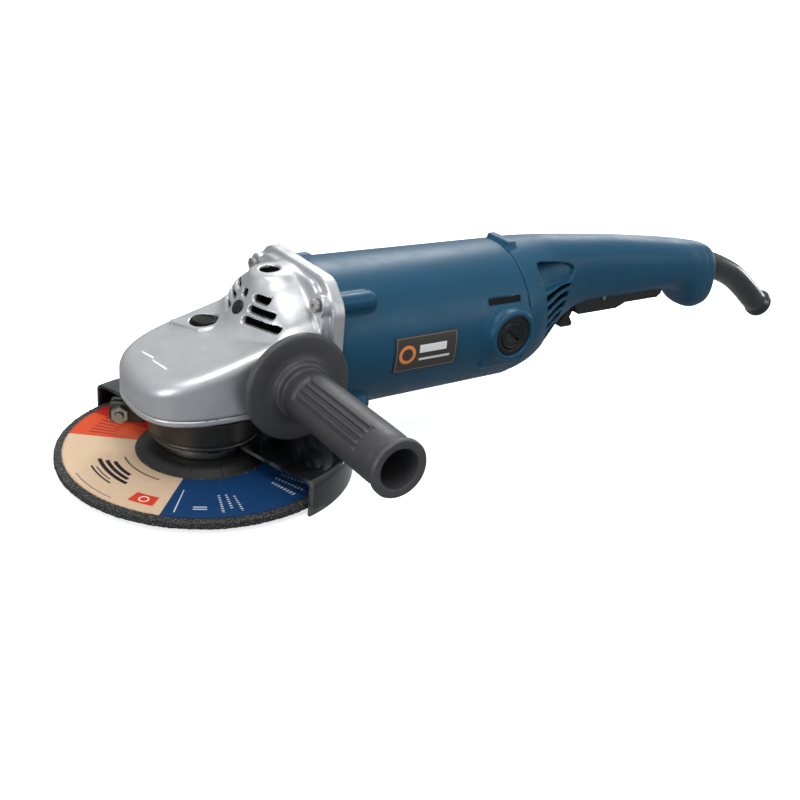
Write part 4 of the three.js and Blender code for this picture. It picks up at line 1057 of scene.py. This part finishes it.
# ---------------------------------------------------------------- assembly
def make_materials():
    m = SimpleNamespace()
    m.silver = cast_metal("cast_silver", (0.55, 0.565, 0.585), 0.37)
    m.blue = moulded("blue_plastic", (0.0035, 0.062, 0.122), 0.40, grain=2400, spread=0.05, wear=0.06,
                     specular_ior_level=0.3)
    m.grip = moulded("handle_plastic", (0.042, 0.042, 0.045), 0.46, grain=1500, depth=0.00006, spread=0.12, wear=0.5)
    m.black = moulded("black_plastic", (0.005, 0.0052, 0.0055), 0.34, grain=2600, specular_ior_level=0.35)
    m.rubber = moulded("boot_rubber", (0.008, 0.008, 0.008), 0.24, grain=1800, spread=0.15, wear=0.2,
                       coat_weight=0.5, coat_roughness=0.22)
    m.enamel = gloss_paint("guard_enamel", (0.003, 0.0032, 0.004), 0.16)
    m.steel = bare_metal("turned_steel", (0.34, 0.325, 0.30), 0.32, lines=(1, 1, 14))
    m.oxide = bare_metal("oxide_steel", (0.075, 0.070, 0.064), 0.36, 0.85, (1, 1, 12), 0.5)
    m.zinc = bare_metal("screw_steel", (0.50, 0.49, 0.47), 0.30, 1.0, (8, 1, 1), 0.25)
    m.stone, m.hub = abrasive_stone("grit"), hub_stone("hub_grit")
    # Painted shade: a near-black colour for hollows, vents and slots, where shade falls.
    m.shadow = moulded("painted_shade_inside", (0.005, 0.005, 0.005), 0.6, grain=700, depth=0.0001, spread=0.3, wear=0.1,
                       specular_ior_level=0.15)
    return m


def build_shells(m):
    """Gear case, bearing box, motor housing with the dark sheets of painted shade behind its slots, and the two tail
    halves.
    """
    case = field_piece("case_casting", gear_case, (-50.5, -52.0, 20.0), (67.5, 52.0, 123.5), 0.85, "body", m.silver,
                       ["gear_case"])
    # Painted shade on the faces inside the case, behind its vents and bores.
    darken_inside(case, case_outside, 2.2, m.shadow)
    field_piece("bearing_box_casting", bearing_box, (-51, -45, 21.5), (50, 45, 48), 0.8, "body", m.silver,
                ["bearing_box"])
    field_piece("housing_shell", motor_housing, (64.6, -54.6, 20.0), (213.6, 54.6, 123.6), 1.1, "body", m.blue,
                ["motor_housing"])
    # Dark sheets of painted shade behind the two slots, one on each side.
    for side, name in SIDES:
        low_y, high_y = sorted((38 * side, 46 * side))
        field_piece(f"slot_shadow_sheet_{name}", slot_shadow_sheet, (176.5, low_y, 89.5), (207, high_y, 96.5), 0.5, "body",
                    m.shadow)
    for side, name in SIDES:
        low_y, high_y = sorted((-2.1 * side, 49.6 * side))
        half = field_piece(f"tail_shell_{name}", tail, (210.6, low_y, 22.9), (437.1, high_y, 123.1), 1.05, "body",
                           m.blue, [on_side(side, "handle_shell_left", "handle_shell_right")],
                           ((0, 0.15 * side, 0), (0, -side, 0)))
        # Painted shade inside the tail vents, in front of x = 263 and below z = 89.2.
        darken_inside(half, lambda x, y, z: np.where((x < 263) & (z < 89.2), tail_skin(x, y, z), 0), 2.6, m.shadow)


def build_wheel_end(m):
    """Wheel with its label, flange and nut, then the guard and its collar."""
    wheel = lathe("wheel_body", wheel_profile(), 720, "spindle_set", m.stone, ["grinding_wheel"],
                  shape=grit_rim, crease=60)
    wheel.data.materials.append(m.hub)
    for poly in wheel.data.polygons:
        middle = poly.center
        if math.hypot(middle.x, middle.y) < 0.0412 and middle.z > 0.0058:
            poly.material_index = 1
    lathe("wheel_label", rounded([[41.9, 6.02], [85.0, 6.02], [85.0, 6.22], [41.9, 6.22]], 0.08), 360,
          "spindle_set", wheel_label("label_print"))
    lathe("label_eye", rounded([[25.6, 10.72], [33.6, 10.72], [33.6, 10.78], [25.6, 10.78]], 0.02), 180,
          "spindle_set", m.hub)
    flange = [[7.3, 7], [10.9, 7], [10.9, 11.05], [FLANGE_RADIUS, 11.05], [FLANGE_RADIUS, 15.8], [25.6, 16.6],
              [17.2, 17.3], [16.6, 18.6], [16.6, 20.6], [14, 21.7], [7.3, 21.7]]
    lathe("backing_flange", rounded(flange, 0.5), 160, "spindle_set", m.steel, ["inner_flange"])
    nut = lathe("clamp_nut", rounded([[7.3, 0.4], [17, 0.4], [17, 3.6], [12.6, 5], [7.3, 5]], 0.5), 128,
                "spindle_set", m.steel, ["lock_nut"])
    carved(nut, [prism(circle(2, 24, x, y), -1, 3.4) for x, y in circle(12.5, 4)])
    guard_shell(m.enamel)
    field_piece("clamp_band", guard_collar, (-54, -37, 18.5), (37, 37, 39.5), 0.75, "guard", m.oxide,
                ["guard_band"])


def build_fittings(m):
    """Side handle, cord guard, brush caps, vent plug, cast marks, lock button and its spring."""
    lathe("side_handle", handle_profile(), 288, "body", m.grip, ["side_handle_grip"],
          place=handle_place(), shape=handle_surface, crease=50)
    boot(m.rubber)
    collar = [[9.95, 45.9], [13.6, 45.9], [13.6, 51.2], [12.9, 51.9], [10.9, 51.9], [10.3, 51.0], [9.95, 50.4]]
    screw = [[0, 48.3], [9.7, 48.3], [9.7, 51.2], [9.1, 52.1], [8.2, 52.2], [7.6, 51.8], [0, 51.8]]
    slit = [(-6.3, -0.85), (6.3, -0.85), (6.3, 0.85), (-6.3, 0.85)]
    for side, name in SIDES:
        place = axis_frame((BRUSH_X, 0, MOTOR_Z), (0, side, 0))
        lathe(f"brush_collar_{name}", rounded(collar, 0.3), 96, "body", m.black, (), place)
        cap = lathe(f"brush_cap_screw_{name}", rounded(screw, 0.25), 96, "body", m.black,
                    [on_side(side, "brush_cap_left", "brush_cap_right")], place)
        carved(cap, [prism(slit, 50.5, 60, place @ Matrix.Rotation(math.radians(-38), 4, "Z"))])
    lathe("vent_plug", rounded([[0, -3], [4.7, -3], [4.7, 0.3], [4.2, 0.8], [0, 1.0]], 0.3), 64, "body",
          m.black, (), axis_frame((20.3, 0, 96.2), (-0.86, 0, 0.51)))
    bright = moulded("mark_paint", (0.80, 0.81, 0.82), 0.35, grain=900, spread=0.04, wear=0.1)
    turn_mark("rotation_mark_1", (-33.6, 16.2), (-31.5, 2.7), bright)
    turn_mark("rotation_mark_2", (-32.8, 1.8), (-31.0, -15.6), bright)
    lock_spring(m.steel)
    knob = moulded("knob_black", (0.003, 0.003, 0.003), 0.42, grain=2600, wear=0.5, specular_ior_level=0.12)
    lathe("lock_button_cap", rounded([[0, 78.6], [8.4, 78.6], [8.4, 82.3], [7.7, 83.0], [6.6, 83.1], [6.0, 82.6],
                                      [0, 82.6]], 0.25), 96, "lock_button", knob, (),
          axis_frame((LOCK_X, LOCK_Y, 0), (0, 0, 1)))


def dress_nodes(m):
    """Procedural materials and soft edges for the CAD nodes that stay visible."""
    inner = moulded("inner_plastic", (0.03, 0.03, 0.032), 0.5)
    groups = (
        (plate_print("plate_print"), "name_plate"),
        (m.oxide, "guard_band"),
        (m.black, "trigger lock_lever shaft_lock_button"),
        (wound_copper("windings"), "armature_coil_front armature_coil_rear commutator field_coil_upper "
                                   "field_coil_lower"),
        (laminated("laminations"), "stator_core armature_core"),
        (bare_metal("bush_bronze", (0.45, 0.30, 0.14), 0.35), "spindle_top_bush"),
        (moulded("carbon_block", (0.02, 0.02, 0.021), 0.6, grain=900, depth=0.0001),
         "carbon_brush_left carbon_brush_right"),
        (inner, "cooling_fan fan_baffle switch_body switch_plunger brush_holder_left brush_holder_right"),
        (m.zinc, "guard_clamp_screw guard_clamp_nut side_handle_stud"),
    )
    looks = {name: material for material, names in groups for name in names.split()}
    for name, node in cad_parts.items():
        if node.hide_render:
            continue
        node.data.materials.clear()
        node.data.materials.append(looks.get(name, m.zinc if "screw" in name else m.steel))
        smooth_faces(node.data, 32)
    for name, width in (("guard_clamp_screw", 0.35), ("guard_clamp_nut", 0.35), ("trigger", 0.5),
                        ("lock_lever", 0.5), ("name_plate", 0.2)):
        rounded_edges(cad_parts[name], width)


aim_camera()
studio()
materials = make_materials()
build_shells(materials)
build_wheel_end(materials)
build_fittings(materials)
dress_nodes(materials)
